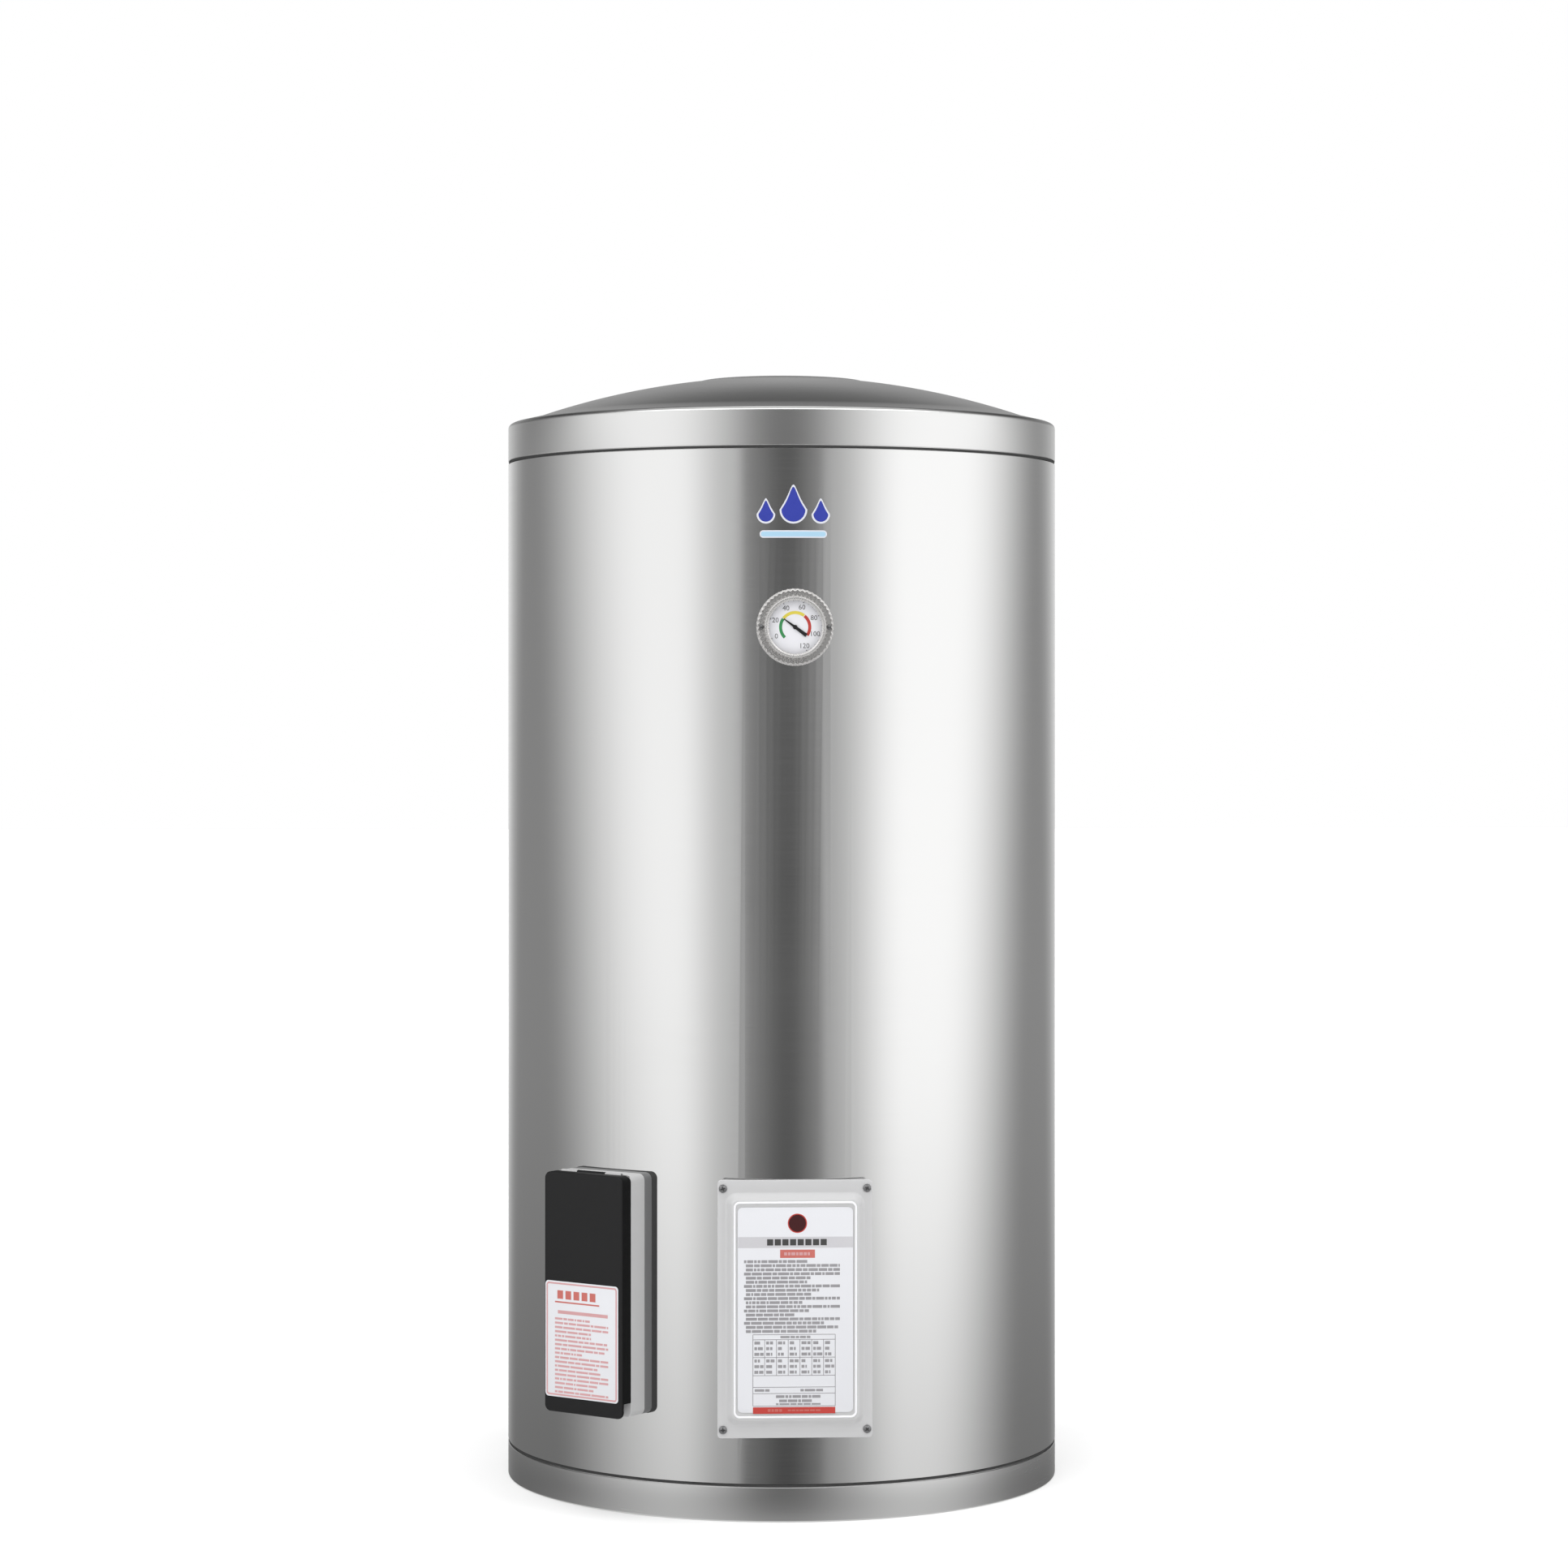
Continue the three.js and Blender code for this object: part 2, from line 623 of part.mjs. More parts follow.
function screwSpots() {
  return [[-1, 1], [1, 1], [-1, -1], [1, -1]].map(([x, y]) => [x * SCREW_X, y * SCREW_Y]);
}

function screwHoles(r) {
  return screwSpots().map(([x, y]) => rod(r, 0, FAR, x, y, HOLE_ROUND));
}

// Fills the space between the flat panel and the round jacket.
function panelSeat() {
  const ring = cut(
    plate(PANEL_W - 2, PANEL_H - 2, 3, SHELL_R - 20, PANEL_FACE - PANEL_T - GAP),
    plate(WINDOW_W + 4, WINDOW_H + 4, WINDOW_CORNER, 0, FAR),
  );
  return cut(ring, pillar(SHELL_R + GAP), ...screwHoles(SCREW_HOLE_R));
}

function accessPanel() {
  const slope = EMBOSS_FACE - PANEL_FACE + PANEL_T;
  const sheet = plate(PANEL_W, PANEL_H, 3, PANEL_FACE - PANEL_T, PANEL_FACE);
  const raised = plate(EMBOSS_W, EMBOSS_H, 10, PANEL_FACE - PANEL_T, EMBOSS_FACE, slope);
  const beadW = EMBOSS_W - 2 * slope;
  const beadH = EMBOSS_H - 2 * slope;
  const bead = cut(
    plate(beadW + 2, beadH + 2, 7, EMBOSS_FACE - 1, EMBOSS_FACE + BEAD_H),
    plate(LABEL_W + 1, LABEL_H + 1, 4, 0, FAR),
  );
  const inset = 2 * PANEL_T;
  const hollowFace = EMBOSS_FACE - PANEL_T;
  const hollow = plate(EMBOSS_W - inset, EMBOSS_H - inset, 9, PANEL_FACE - inset, hollowFace, slope);
  return cut(join(sheet, raised, bead), hollow, ...screwHoles(SCREW_HOLE_R));
}

function panelScrew() {
  const shank = rod(1.8, PANEL_FACE - 8, PANEL_FACE + 1, 0, 0, HOLE_ROUND);
  const head = turned([
    [0, PANEL_FACE + GAP],
    [3.25, PANEL_FACE + GAP],
    [3.25, PANEL_FACE + 1.2],
    [2.2, PANEL_FACE + 2.2],
    [0, PANEL_FACE + 2.2],
  ]);
  return join(shank, head);
}

function panelAssembly() {
  const screws = screwSpots().map(([x, y], i) => {
    const screw = mesh("panel_screw_" + (i + 1), panelScrew(), screwSteel);
    screw.position.set(x, y, 0);
    return screw;
  });
  const sticker = plate(LABEL_W, LABEL_H, 4, EMBOSS_FACE + GAP, EMBOSS_FACE + BEAD_H - 0.1);
  return facingGroup(
    PANEL_Z,
    0,
    mesh("panel_seat", panelSeat(), silverPlastic),
    mesh("access_panel", accessPanel(), silverPlastic),
    mesh("panel_label", sticker, label),
    ...screws,
  );
}

// ---------------------------------------------------------------- thermometer

function gaugeCase() {
  const back = 206;
  const front = 239.4;
  const cup = turned([
    [0, back],
    [GAUGE_CASE_R, back],
    [GAUGE_CASE_R, front],
    [GAUGE_CASE_R - 1, front],
    [GAUGE_CASE_R - 1, back + 1.5],
    [0, back + 1.5],
  ], DISC_ROUND);
  return cut(cup, rod(1.5, 0, FAR, 0, 0, HOLE_ROUND));
}

function gaugeDial() {
  return tube(GAUGE_CASE_R - 1.3, 1.2, DIAL_FACE - 0.8, DIAL_FACE, DISC_ROUND);
}

// The inner rim that holds the lens, a channel for the two screws, and the outer rim.
function gaugeBezel() {
  const wall = GAUGE_CASE_R + 0.4;
  const channel = 238;
  const ring = turned([
    [wall, SHELL_R - 6],
    [GAUGE_R, SHELL_R - 6],
    [GAUGE_R, channel + 1.2],
    [GAUGE_R - 0.8, channel + 1.8],
    [GAUGE_R - 1.6, channel],
    [wall + 0.9, channel],
    [wall + 0.6, GAUGE_FRONT - 0.8],
    [wall - 0.6, GAUGE_FRONT],
    [wall - 2.4, GAUGE_FRONT - 0.6],
    [wall - 2.4, GAUGE_FRONT - 1.6],
    [wall, GAUGE_FRONT - 1.6],
  ], DISC_ROUND);
  const holes = [-1, 1].map((side) => rod(1.5, 0, FAR, side * GAUGE_SCREW_R, 0, HOLE_ROUND));
  return cut(ring, pillar(SHELL_R + GAP), ...holes);
}

function gaugeLens() {
  const back = 239.7;
  const edge = GAUGE_CASE_R;
  return turned([[0, back], [edge, back], [edge, back + 1.4], [0, back + 2.4]], DISC_ROUND);
}

// Tapered from its tail to its tip, with a hub and a spindle through the dial.
function gaugePointer() {
  const outline = new THREE.Shape();
  outline.moveTo(-11.2, -1);
  outline.lineTo(-2, -0.9);
  outline.lineTo(11, -0.35);
  outline.lineTo(11, 0.35);
  outline.lineTo(-2, 0.9);
  outline.lineTo(-11.2, 1);
  const blade = new THREE.ExtrudeGeometry(outline, { depth: 0.5, bevelEnabled: false });
  blade.translate(0, 0, DIAL_FACE + 0.4);
  const hub = rod(1.7, DIAL_FACE + 0.35, DIAL_FACE + 1.3, 0, 0);
  return join(blade, hub, rod(SPINDLE_R, DIAL_FACE - 4, DIAL_FACE + 1, 0, 0, HOLE_ROUND));
}

function gaugeScrew() {
  const shank = rod(1.2, SHELL_R - 2.3, 239, 0, 0, HOLE_ROUND);
  return join(shank, rod(2.1, 238.3, 239.6, 0, 0, HOLE_ROUND));
}

// The brass stem from the case, through the tank's wall and into the water.
function gaugeStem() {
  return turned([
    [0, 120],
    [GAUGE_STEM_R, 120],
    [GAUGE_STEM_R, TANK_R + GAP + 0.2],
    [8, TANK_R + GAP + 0.2],
    [8, 198],
    [5, 198],
    [5, 205.7],
    [0, 205.7],
  ]);
}

function gaugeAssembly() {
  const pointer = mesh("gauge_pointer", gaugePointer(), blackPlastic);
  pointer.rotation.z = radians(POINTER_ANGLE);
  const screws = [["left", -1], ["right", 1]].map(([name, side]) => {
    const screw = mesh("gauge_screw_" + name, gaugeScrew(), screwSteel);
    screw.position.x = side * GAUGE_SCREW_R;
    return screw;
  });
  return facingGroup(
    GAUGE_Z,
    0,
    mesh("gauge_stem", gaugeStem(), brass),
    mesh("gauge_case", gaugeCase(), steel),
    mesh("gauge_dial", gaugeDial(), whitePlastic),
    mesh("gauge_bezel", gaugeBezel(), steel),
    mesh("gauge_lens", gaugeLens(), clearLens),
    pointer,
    ...screws,
  );
}

// ---------------------------------------------------------------- switch box

function knuckle(x0, x1, r = HINGE_R) {
  return crossRod(r, x0, x1, HINGE_Y, HINGE_Z);
}

function boxGasket() {
  const outer = plate(BOX_W + 0.8, BOX_H + 0.8, BOX_CORNER, SHELL_R - 20, GASKET_FACE);
  return cut(outer, plate(BOX_W - 14, BOX_H - 14, 5, 0, FAR), pillar(SHELL_R + GAP));
}

function boxBase() {
  const inside = BOX_W - 2 * WALL;
  const outer = plate(BOX_W, BOX_H, BOX_CORNER, GASKET_FACE + GAP, BASE_FACE);
  const hollow = plate(inside, BOX_H - 2 * WALL, BOX_CORNER - WALL, GASKET_FACE + 2.7, FAR);
  return cut(outer, hollow, rod(WIRE_HOLE_R, 0, FAR, 0, WIRE_HOLE_Y));
}

function boxFrame() {
  const inside = BOX_W - 2 * WALL;
  const outer = plate(BOX_W, BOX_H, BOX_CORNER, BASE_FACE + GAP, FRAME_FACE);
  const hollow = plate(inside, BOX_H - 2 * WALL, BOX_CORNER - WALL, 0, FRAME_FACE - WALL);
  const mouth = plate(62, 170, 4, 0, FAR);
  const body = cut(outer, hollow, mouth, knuckle(-KNUCKLE_HALF - GAP, KNUCKLE_HALF + GAP, HINGE_R + 0.4));
  const knuckles = [
    knuckle(-HINGE_HALF, -KNUCKLE_HALF - GAP),
    knuckle(KNUCKLE_HALF + GAP, HINGE_HALF),
  ];
  return cut(join(body, ...knuckles), crossRod(1.3, -FAR, FAR, HINGE_Y, HINGE_Z));
}

function boxFascia() {
  const sheet = plate(68, 184, 5, FASCIA_FACE - 2.2, FASCIA_FACE - 2 * GAP);
  const breakerWindow = plate(29, 53, 1.5, 0, FAR).translate(0, BREAKER_Y - 3, 0);
  return cut(sheet, breakerWindow, rod(4.5, 0, FAR, 0, LAMP_Y));
}

function breakerBody() {
  const body = block([-18, 18], [BREAKER_Y - 40, BREAKER_Y + 40], [GASKET_FACE + 3, FASCIA_FACE - 2.5]);
  const nose = block([-14, 14], [BREAKER_Y - 29, BREAKER_Y + 23], [250, 264]);
  const toggleSlot = block([-6, 6], [BREAKER_Y - 6.9, BREAKER_Y + 6.9], [251.5, FAR]);
  const buttonHole = rod(3.5, 255, FAR, ...TEST_SPOT);
  return cut(join(body, nose), toggleSlot, buttonHole);
}

// The drum and the lever of the breaker, drawn level and tilted to "on" by its mesh.
function breakerToggle() {
  return join(crossRod(6.4, -5.6, 5.6, 0, 0), block([-5.6, 5.6], [-2.6, 2.6], [0, 12]));
}

function pilotLamp() {
  const foot = FASCIA_FACE - 2.5;
  return turned([
    [0, foot - 4],
    [5.5, foot - 4],
    [5.5, foot],
    [4, foot],
    [4, 263],
    [2.8, 264.6],
    [0, 265.2],
  ]);
}

function terminalBlock() {
  const body = block([-24, 24], [-78, -56], [GASKET_FACE + 3, 256]);
  const slots = [-16, -5.4, 5.2, 15.8].map((x) => block([x - 3.5, x + 3.5], [-74, -60], [252, FAR]));
  return cut(body, ...slots);
}

// A tray: front plate, two sides and top, and a lower wall set up from the bottom edge.
function boxDoor() {
  const inside = BOX_W - 2 * WALL;
  const bottom = -BOX_H / 2;
  const back = DOOR_FACE - WALL;
  const outer = plate(BOX_W, BOX_H, BOX_CORNER, DOOR_BACK, DOOR_FACE, 1);
  const hollow = plate(inside, BOX_H - 2 * WALL, BOX_CORNER - WALL, 0, back);
  const finger = block([-FAR, FAR], [-FAR, bottom + FINGER_GAP], [0, back]);
  const notches = [-1, 1].map((side) => {
    const ends = [side * KNUCKLE_HALF, side * (HINGE_HALF + GAP)].sort((a, b) => a - b);
    return knuckle(...ends, HINGE_R + 0.4);
  });
  const lowerWall = block(
    [-inside / 2 - 1, inside / 2 + 1],
    [bottom + FINGER_GAP, bottom + FINGER_GAP + 2],
    [DOOR_BACK, back + 0.5],
  );
  const tray = join(cut(outer, hollow, finger), lowerWall);
  const hinged = join(cut(tray, ...notches), knuckle(-KNUCKLE_HALF, KNUCKLE_HALF));
  return cut(hinged, crossRod(1.3, -FAR, FAR, HINGE_Y, HINGE_Z));
}

function boxAssembly() {
  const toggle = mesh("breaker_toggle", breakerToggle(), blackPlastic);
  toggle.position.set(0, BREAKER_Y, TOGGLE_AXIS_Z);
  toggle.rotation.x = -radians(TOGGLE_TILT);
  const test = mesh("test_button", rod(3, 257.5, 266, 0, 0), redPlastic);
  test.position.set(...TEST_SPOT, 0);
  const lamp = mesh("pilot_lamp", pilotLamp(), greenPlastic);
  lamp.position.y = LAMP_Y;
  const pin = crossRod(0.95, -HINGE_HALF + 0.5, HINGE_HALF - 0.5, HINGE_Y, HINGE_Z, HOLE_ROUND);
  const sticker = plate(...DOOR_LABEL, 3, DOOR_FACE + GAP, DOOR_FACE + 2 * GAP);
  sticker.translate(...DOOR_LABEL_SPOT, 0);
  return facingGroup(
    BOX_Z,
    BOX_TURN,
    mesh("box_gasket", boxGasket(), rubber),
    mesh("box_base", boxBase(), greyPlastic),
    mesh("box_frame", boxFrame(), silverPlastic),
    mesh("box_fascia", boxFascia(), greyPlastic),
    mesh("breaker_body", breakerBody(), whitePlastic),
    mesh("terminal_block", terminalBlock(), whitePlastic),
    mesh("door_hinge_pin", pin, screwSteel),
    mesh("box_door", boxDoor(), blackPlastic),
    mesh("door_label", sticker, label),
    toggle,
    test,
    lamp,
  );
}

// ---------------------------------------------------------------- wall brackets

// A web that follows the jacket, two legs and two slotted ears whose backs lie flat on the wall.
function wallBracket() {
  const half = BRACKET_H / 2;
  const height = [-half, half];
  const wall = GAUGE_FRONT;
  const web = common(
    tube(SHELL_R + 0.4 + BRACKET_T, SHELL_R - 5, -half, half, ROUND),
    block([-BRACKET_LEG_X, BRACKET_LEG_X], [0, FAR], height),
  );
  const sides = [-1, 1].flatMap((side) => {
    const ear = [side * (BRACKET_LEG_X - BRACKET_T), side * BRACKET_EAR_X].sort((a, b) => a - b);
    const leg = [side * (BRACKET_LEG_X - BRACKET_T), side * BRACKET_LEG_X].sort((a, b) => a - b);
    return [block(ear, [wall - BRACKET_T, wall], height), block(leg, [190, wall], height)];
  });
  const slots = [-1, 1].map((side) =>
    facing(plate(16, 9, 4.4, 200, FAR), 0, 180).translate(side * BRACKET_SLOT_X, 0, 0),
  );
  return cut(join(web, ...sides), rod(SHELL_R + 0.4, -FAR, FAR, 0, 0, ROUND), ...slots);
}

function bracketAt(name, height) {
  const bracket = mesh(name, wallBracket(), bracketSteel);
  bracket.position.z = height;
  return bracket;
}

// ---------------------------------------------------------------- the heater

const heater = new THREE.Group();
heater.add(
  mesh("outer_shell", outerShell(), steel),
  mesh("top_cover", topCover(), steel),
  mesh("bottom_band", bottomBand(), steel),
  mesh("bottom_plate", bottomPlate(), steel),
  mesh("top_seal_ring", sealRing(SEAM_HIGH), rubber),
  mesh("bottom_seal_ring", sealRing(SEAM_LOW), rubber),
  mesh("inner_tank", innerTank(), steel),
  mesh("foam_jacket", foamJacket(), foam),
  mesh("foam_top", foamTop(), foam),
  mesh("foam_bottom", foamBottom(), foam),
  mesh("anode_rod", anodeRod(), magnesium),
  ...underFittings(),
  elementAssembly(),
  thermostatAssembly(),
  panelAssembly(),
  gaugeAssembly(),
  boxAssembly(),
  bracketAt("lower_wall_bracket", BRACKET_LOW),
  bracketAt("upper_wall_bracket", BRACKET_HIGH),
);

export default heater;
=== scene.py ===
"""The looks of a tank water heater: smooth steel skins, printed labels, a dial, light and a camera.

Lengths are millimetres until a piece is placed, which scales it to metres. Pieces that face
outwards are drawn in the part's facing frame: x right, y up, z outwards from the tank's axis.
"""
import math
import random

import bmesh
import bpy
from mathutils import Matrix, Vector


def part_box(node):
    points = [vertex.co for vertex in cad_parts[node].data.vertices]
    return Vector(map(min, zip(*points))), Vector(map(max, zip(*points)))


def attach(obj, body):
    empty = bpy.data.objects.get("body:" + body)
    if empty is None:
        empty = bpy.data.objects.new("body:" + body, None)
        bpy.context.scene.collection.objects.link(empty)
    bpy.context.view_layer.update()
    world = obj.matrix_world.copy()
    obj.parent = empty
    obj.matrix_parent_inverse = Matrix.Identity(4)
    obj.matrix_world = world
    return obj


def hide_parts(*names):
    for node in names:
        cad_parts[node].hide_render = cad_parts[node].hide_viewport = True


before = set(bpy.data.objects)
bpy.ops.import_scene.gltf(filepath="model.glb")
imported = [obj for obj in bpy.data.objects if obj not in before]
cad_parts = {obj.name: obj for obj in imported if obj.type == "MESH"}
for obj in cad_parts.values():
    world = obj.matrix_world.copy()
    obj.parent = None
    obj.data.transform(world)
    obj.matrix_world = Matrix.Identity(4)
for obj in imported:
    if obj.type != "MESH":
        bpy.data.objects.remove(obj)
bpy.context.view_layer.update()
random.seed(7)

# ---------------------------------------------------------------- sizes from the frame

MM = 0.001
GAP = 0.3  # kept between pieces that touch
ROUND = 256  # sides of the jacket and its covers
FINE = 96  # sides of small turned pieces
CORNER_STEPS = 10


def mm(node):
    """A node's lowest and highest corner in millimetres."""
    low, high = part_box(node)
    return low / MM, high / MM


def height_of(node):
    low, high = mm(node)
    return (low.z + high.z) / 2


SHELL_LOW, SHELL_HIGH = (corner.z for corner in mm("outer_shell"))
SHELL_R = mm("outer_shell")[1].x
SHELL_T = 0.8
COVER_LOW, BAND_FLOOR = mm("top_cover")[0].z, mm("bottom_band")[1].z
PLATEAU_Z = mm("top_cover")[1].z
THROUGH = (190, SHELL_R + 10)  # from and to, along a tool that cuts through the jacket
COLLAR_R = SHELL_R - 1.3
COLLAR_T = 1.5
SEAM_COVER = SHELL_HIGH + 2.6
SEAM_BAND = SHELL_LOW - 2.6
BAND_TOP = 888.5
COVER_CORNER_R = 4
FLANGE_SLOPE = 11  # degrees, just inside the corner
DOME_EDGE_R = 212
DOME_EDGE_Z = 896.6
DOME_SPHERE_R = 640
PLATEAU_R = 70

PANEL_Z = height_of("access_panel")
PANEL_W, PANEL_H, PANEL_CORNER = 124, 206, 3
PANEL_FACE, PANEL_T = 236, 1.5
EMBOSS_W, EMBOSS_H, EMBOSS_CORNER = 112, 186, 10
EMBOSS_FACE, EMBOSS_SLOPE = 241, 6.5
WINDOW = (92, 166, 6)  # width, height and corner of the jacket's opening behind the panel
RIM_W, RIM_H = 1.8, 0.9
LABEL_W, LABEL_H = 92.2, 163.5
LABEL_FACE = EMBOSS_FACE + 0.7
SCREW_X, SCREW_Y, SHANK_R = 57.6, 96.2, 1.6

GAUGE_Z = height_of("gauge_bezel")
GAUGE_R, GAUGE_CASE_R = 31, 23.4
GAUGE_FRONT, DIAL_FACE, CHANNEL = 243.2, 237.8, 238
GAUGE_SCREW_R = 27
POINTER_ANGLE = 143.6  # degrees from the dial's 3 o'clock

BOX_Z = height_of("box_base")
BOX_TURN = -37.7  # degrees round from the front
BOX_W, BOX_H, BOX_CORNER, WALL = 78.5, 193, 5.5, 2.5
GASKET_FACE, BASE_FACE, FRAME_FACE = 237, 246.5, 264.6
DOOR_BACK, DOOR_FACE = 264.9, 276.6
FINGER_GAP = 12
HINGE_Y, HINGE_Z, HINGE_R = BOX_H / 2 - 0.4, 264.75, 1.8
HINGE_HALF, KNUCKLE_HALF = 30, 14
HINGE_SPACE, PIN_HOLE_R = 0.4, 1.3
WIRE_HOLE_R, WIRE_HOLE_DROP = 12, 40  # in the box's back, and how far below its middle
DOOR_LABEL_W, DOOR_LABEL_H, DOOR_LABEL_SPOT = 73.5, 93, (-1, -37.5)

# ---------------------------------------------------------------- shapes


def facing(height, turn=0.0):
    """The matrix that puts a facing drawing at this height, this many degrees round the tank."""
    upright = Matrix.Rotation(math.radians(90), 4, "X")
    turned_round = Matrix.Rotation(math.radians(turn), 4, "Z")
    return Matrix.Translation((0, 0, height)) @ turned_round @ upright


def made(name, build, place=None, sharp=32):
    """A Blender object from a function that fills a bmesh in millimetres."""
    shape = bmesh.new()
    build(shape)
    bmesh.ops.recalc_face_normals(shape, faces=shape.faces)
    shape.transform(place or Matrix())
    shape.transform(Matrix.Scale(MM, 4))
    mesh = bpy.data.meshes.new(name)
    shape.to_mesh(mesh)
    shape.free()
    mesh.shade_smooth()
    mesh.set_sharp_from_angle(angle=math.radians(sharp))
    piece = bpy.data.objects.new(name, mesh)
    bpy.context.collection.objects.link(piece)
    return piece


def arc(centre_r, centre_z, radius, start, end, steps=6):
    """Outline points along an arc, its angles in degrees from the outward direction."""
    points = []
    for i in range(steps + 1):
        a = math.radians(start + (end - start) * i / steps)
        points.append((centre_r + radius * math.cos(a), centre_z + radius * math.sin(a)))
    return points


def lathe(shape, outline, sides=FINE, closed=False, wave=None):
    """Turns an outline of (radius, height) round z. wave(a, i) changes point i's radius."""
    rings = []
    for i, (r, z) in enumerate(outline):
        if r < 1e-6:
            rings.append([shape.verts.new((0, 0, z))])
            continue
        ring = []
        for k in range(sides):
            a = 2 * math.pi * k / sides
            radius = r + (wave(a, i) if wave else 0)
            ring.append(shape.verts.new((radius * math.cos(a), radius * math.sin(a), z)))
        rings.append(ring)
    skin(shape, rings, closed)


def verts_after(shape, start):
    """The points made since the shape had this many."""
    shape.verts.ensure_lookup_table()
    return shape.verts[start:]


def skin(shape, loops, closed=False):
    """Joins each ring of points to the next, and the last to the first when closed.

    A ring may be a single point.
    """
    pairs = list(zip(loops, loops[1:]))
    if closed:
        pairs.append((loops[-1], loops[0]))
    for low, high in pairs:
        count = max(len(low), len(high))
        for k in range(count):
            after = (k + 1) % count
            ring = [low[k % len(low)], low[after % len(low)], high[after % len(high)], high[k % len(high)]]
            corners = list(dict.fromkeys(ring))
            if len(corners) > 2:
                shape.faces.new(corners)


def rod(shape, r, z0, z1, bevel=0.0, sides=FINE, at=(0, 0)):
    """An upright cylinder, its ends bevelled when asked."""
    start = len(shape.verts)
    outline = [(0, z0), (r, z0), (r, z1), (0, z1)]
    if bevel:
        outline[1:3] = [(r - bevel, z0), (r, z0 + bevel), (r, z1 - bevel), (r - bevel, z1)]
    lathe(shape, outline, sides)
    bmesh.ops.translate(shape, verts=verts_after(shape, start), vec=(*at, 0))


def rounded_loop(w, h, corner, steps):
    """Points round a rectangle with rounded corners, anticlockwise."""
    corner = max(corner, 0.05)
    points = []
    for quarter, (sx, sy) in enumerate([(1, 1), (-1, 1), (-1, -1), (1, -1)]):
        for i in range(steps + 1):
            a = math.pi / 2 * (quarter + i / steps)
            points.append((
                sx * (w / 2 - corner) + corner * math.cos(a),
                sy * (h / 2 - corner) + corner * math.sin(a),
            ))
    return points


def stack(shape, size, levels, closed=False, steps=CORNER_STEPS, at=(0, 0)):
    """Joins rounded rectangles of (inset, z), capped at both ends, or closed on itself."""
    w, h, corner = size
    loops = []
    for inset, z in levels:
        points = rounded_loop(w - 2 * inset, h - 2 * inset, corner - inset, steps)
        loops.append([shape.verts.new((x + at[0], y + at[1], z)) for x, y in points])
    skin(shape, loops, closed)
    if not closed:
        shape.faces.new(loops[0])
        shape.faces.new(loops[-1])


def prism(shape, outline, z0, z1):
    """A flat outline of (x, y), drawn out from z0 to z1."""
    loops = [[shape.verts.new((x, y, z)) for x, y in outline] for z in (z0, z1)]
    skin(shape, loops)
    for loop in loops:
        shape.faces.new(loop)


def block(shape, x, y, z, bevel=0.0):
    """A box between two values of x, of y and of z."""
    verts = bmesh.ops.create_cube(shape, size=1)["verts"]
    size = (x[1] - x[0], y[1] - y[0], z[1] - z[0])
    middle = (sum(x) / 2, sum(y) / 2, sum(z) / 2)
    bmesh.ops.scale(shape, verts=verts, vec=size)
    bmesh.ops.translate(shape, verts=verts, vec=middle)
    if bevel:
        edges = list({edge for v in verts for edge in v.link_edges})
        bmesh.ops.bevel(shape, geom=edges, offset=bevel, segments=3, affect="EDGES", profile=0.5)


def rounded_edge(inset, z, radius, steps=4):
    """Levels round a plate's front edge, from its side to its face."""
    levels = []
    for i in range(steps + 1):
        a = math.pi / 2 * i / steps
        levels.append((inset + radius - radius * math.cos(a), z - radius + radius * math.sin(a)))
    return levels


def apply_modifiers(piece):
    graph = bpy.context.evaluated_depsgraph_get()
    finished = bpy.data.meshes.new_from_object(piece.evaluated_get(graph))
    piece.modifiers.clear()
    piece.data = finished


def combine(piece, operation, tools, sharp=32):
    for tool in tools:
        step = piece.modifiers.new(tool.name, "BOOLEAN")
        step.operation = operation
        step.solver = "EXACT"
        step.object = tool
    apply_modifiers(piece)
    for tool in tools:
        bpy.data.objects.remove(tool)
    piece.data.set_sharp_from_angle(angle=math.radians(sharp))


def cut(piece, *tools):
    combine(piece, "DIFFERENCE", tools)


def join(piece, *others):
    combine(piece, "UNION", others)


def soften(piece, width):
    """Rounds a piece's sharp edges."""
    bevel = piece.modifiers.new("rounded", "BEVEL")
    bevel.width = width * MM
    bevel.segments = 2
    bevel.limit_method = "ANGLE"
    bevel.angle_limit = math.radians(40)


def cross_rod(shape, r, x0, x1, y, z, sides=32):
    """A cylinder along x."""
    start = len(shape.verts)
    lathe(shape, [(0, x0), (r, x0), (r, x1), (0, x1)], sides)
    verts = verts_after(shape, start)
    bmesh.ops.rotate(shape, verts=verts, matrix=Matrix.Rotation(math.radians(90), 3, "Y"))
    bmesh.ops.translate(shape, verts=verts, vec=(0, y, z))


def drill(place, r, z0, z1, at=(0, 0), sides=FINE):
    """A tool that cuts a round hole."""
    return made("drill", lambda shape: rod(shape, r, z0, z1, sides=sides, at=at), place)


def jacket_former(z0, z1):
    """A tool that cuts a piece to the jacket's round face, a little clear of it."""
    return made("former", lambda shape: rod(shape, SHELL_R + GAP, z0, z1, sides=ROUND))


# ---------------------------------------------------------------- materials


def principled(name):
    """A new material, its node tree and its shader."""
    material = bpy.data.materials.new(name)
    material.use_nodes = True
    return material, material.node_tree, material.node_tree.nodes["Principled BSDF"]


def outputs(tree, kind, sockets=None, **settings):
    """A new shader node's outputs. Its sockets take values or other nodes' outputs."""
    node = tree.nodes.new("ShaderNode" + kind)
    for setting, value in settings.items():
        setattr(node, setting, value)
    for socket, value in (sockets or {}).items():
        if isinstance(value, bpy.types.NodeSocket):
            tree.links.new(value, node.inputs[socket])
        else:
            node.inputs[socket].default_value = value
    return node.outputs


def maths(tree, operation, *values):
    """The result of a sum on numbers and other nodes' outputs."""
    return outputs(tree, "Math", dict(enumerate(values)), operation=operation)["Value"]


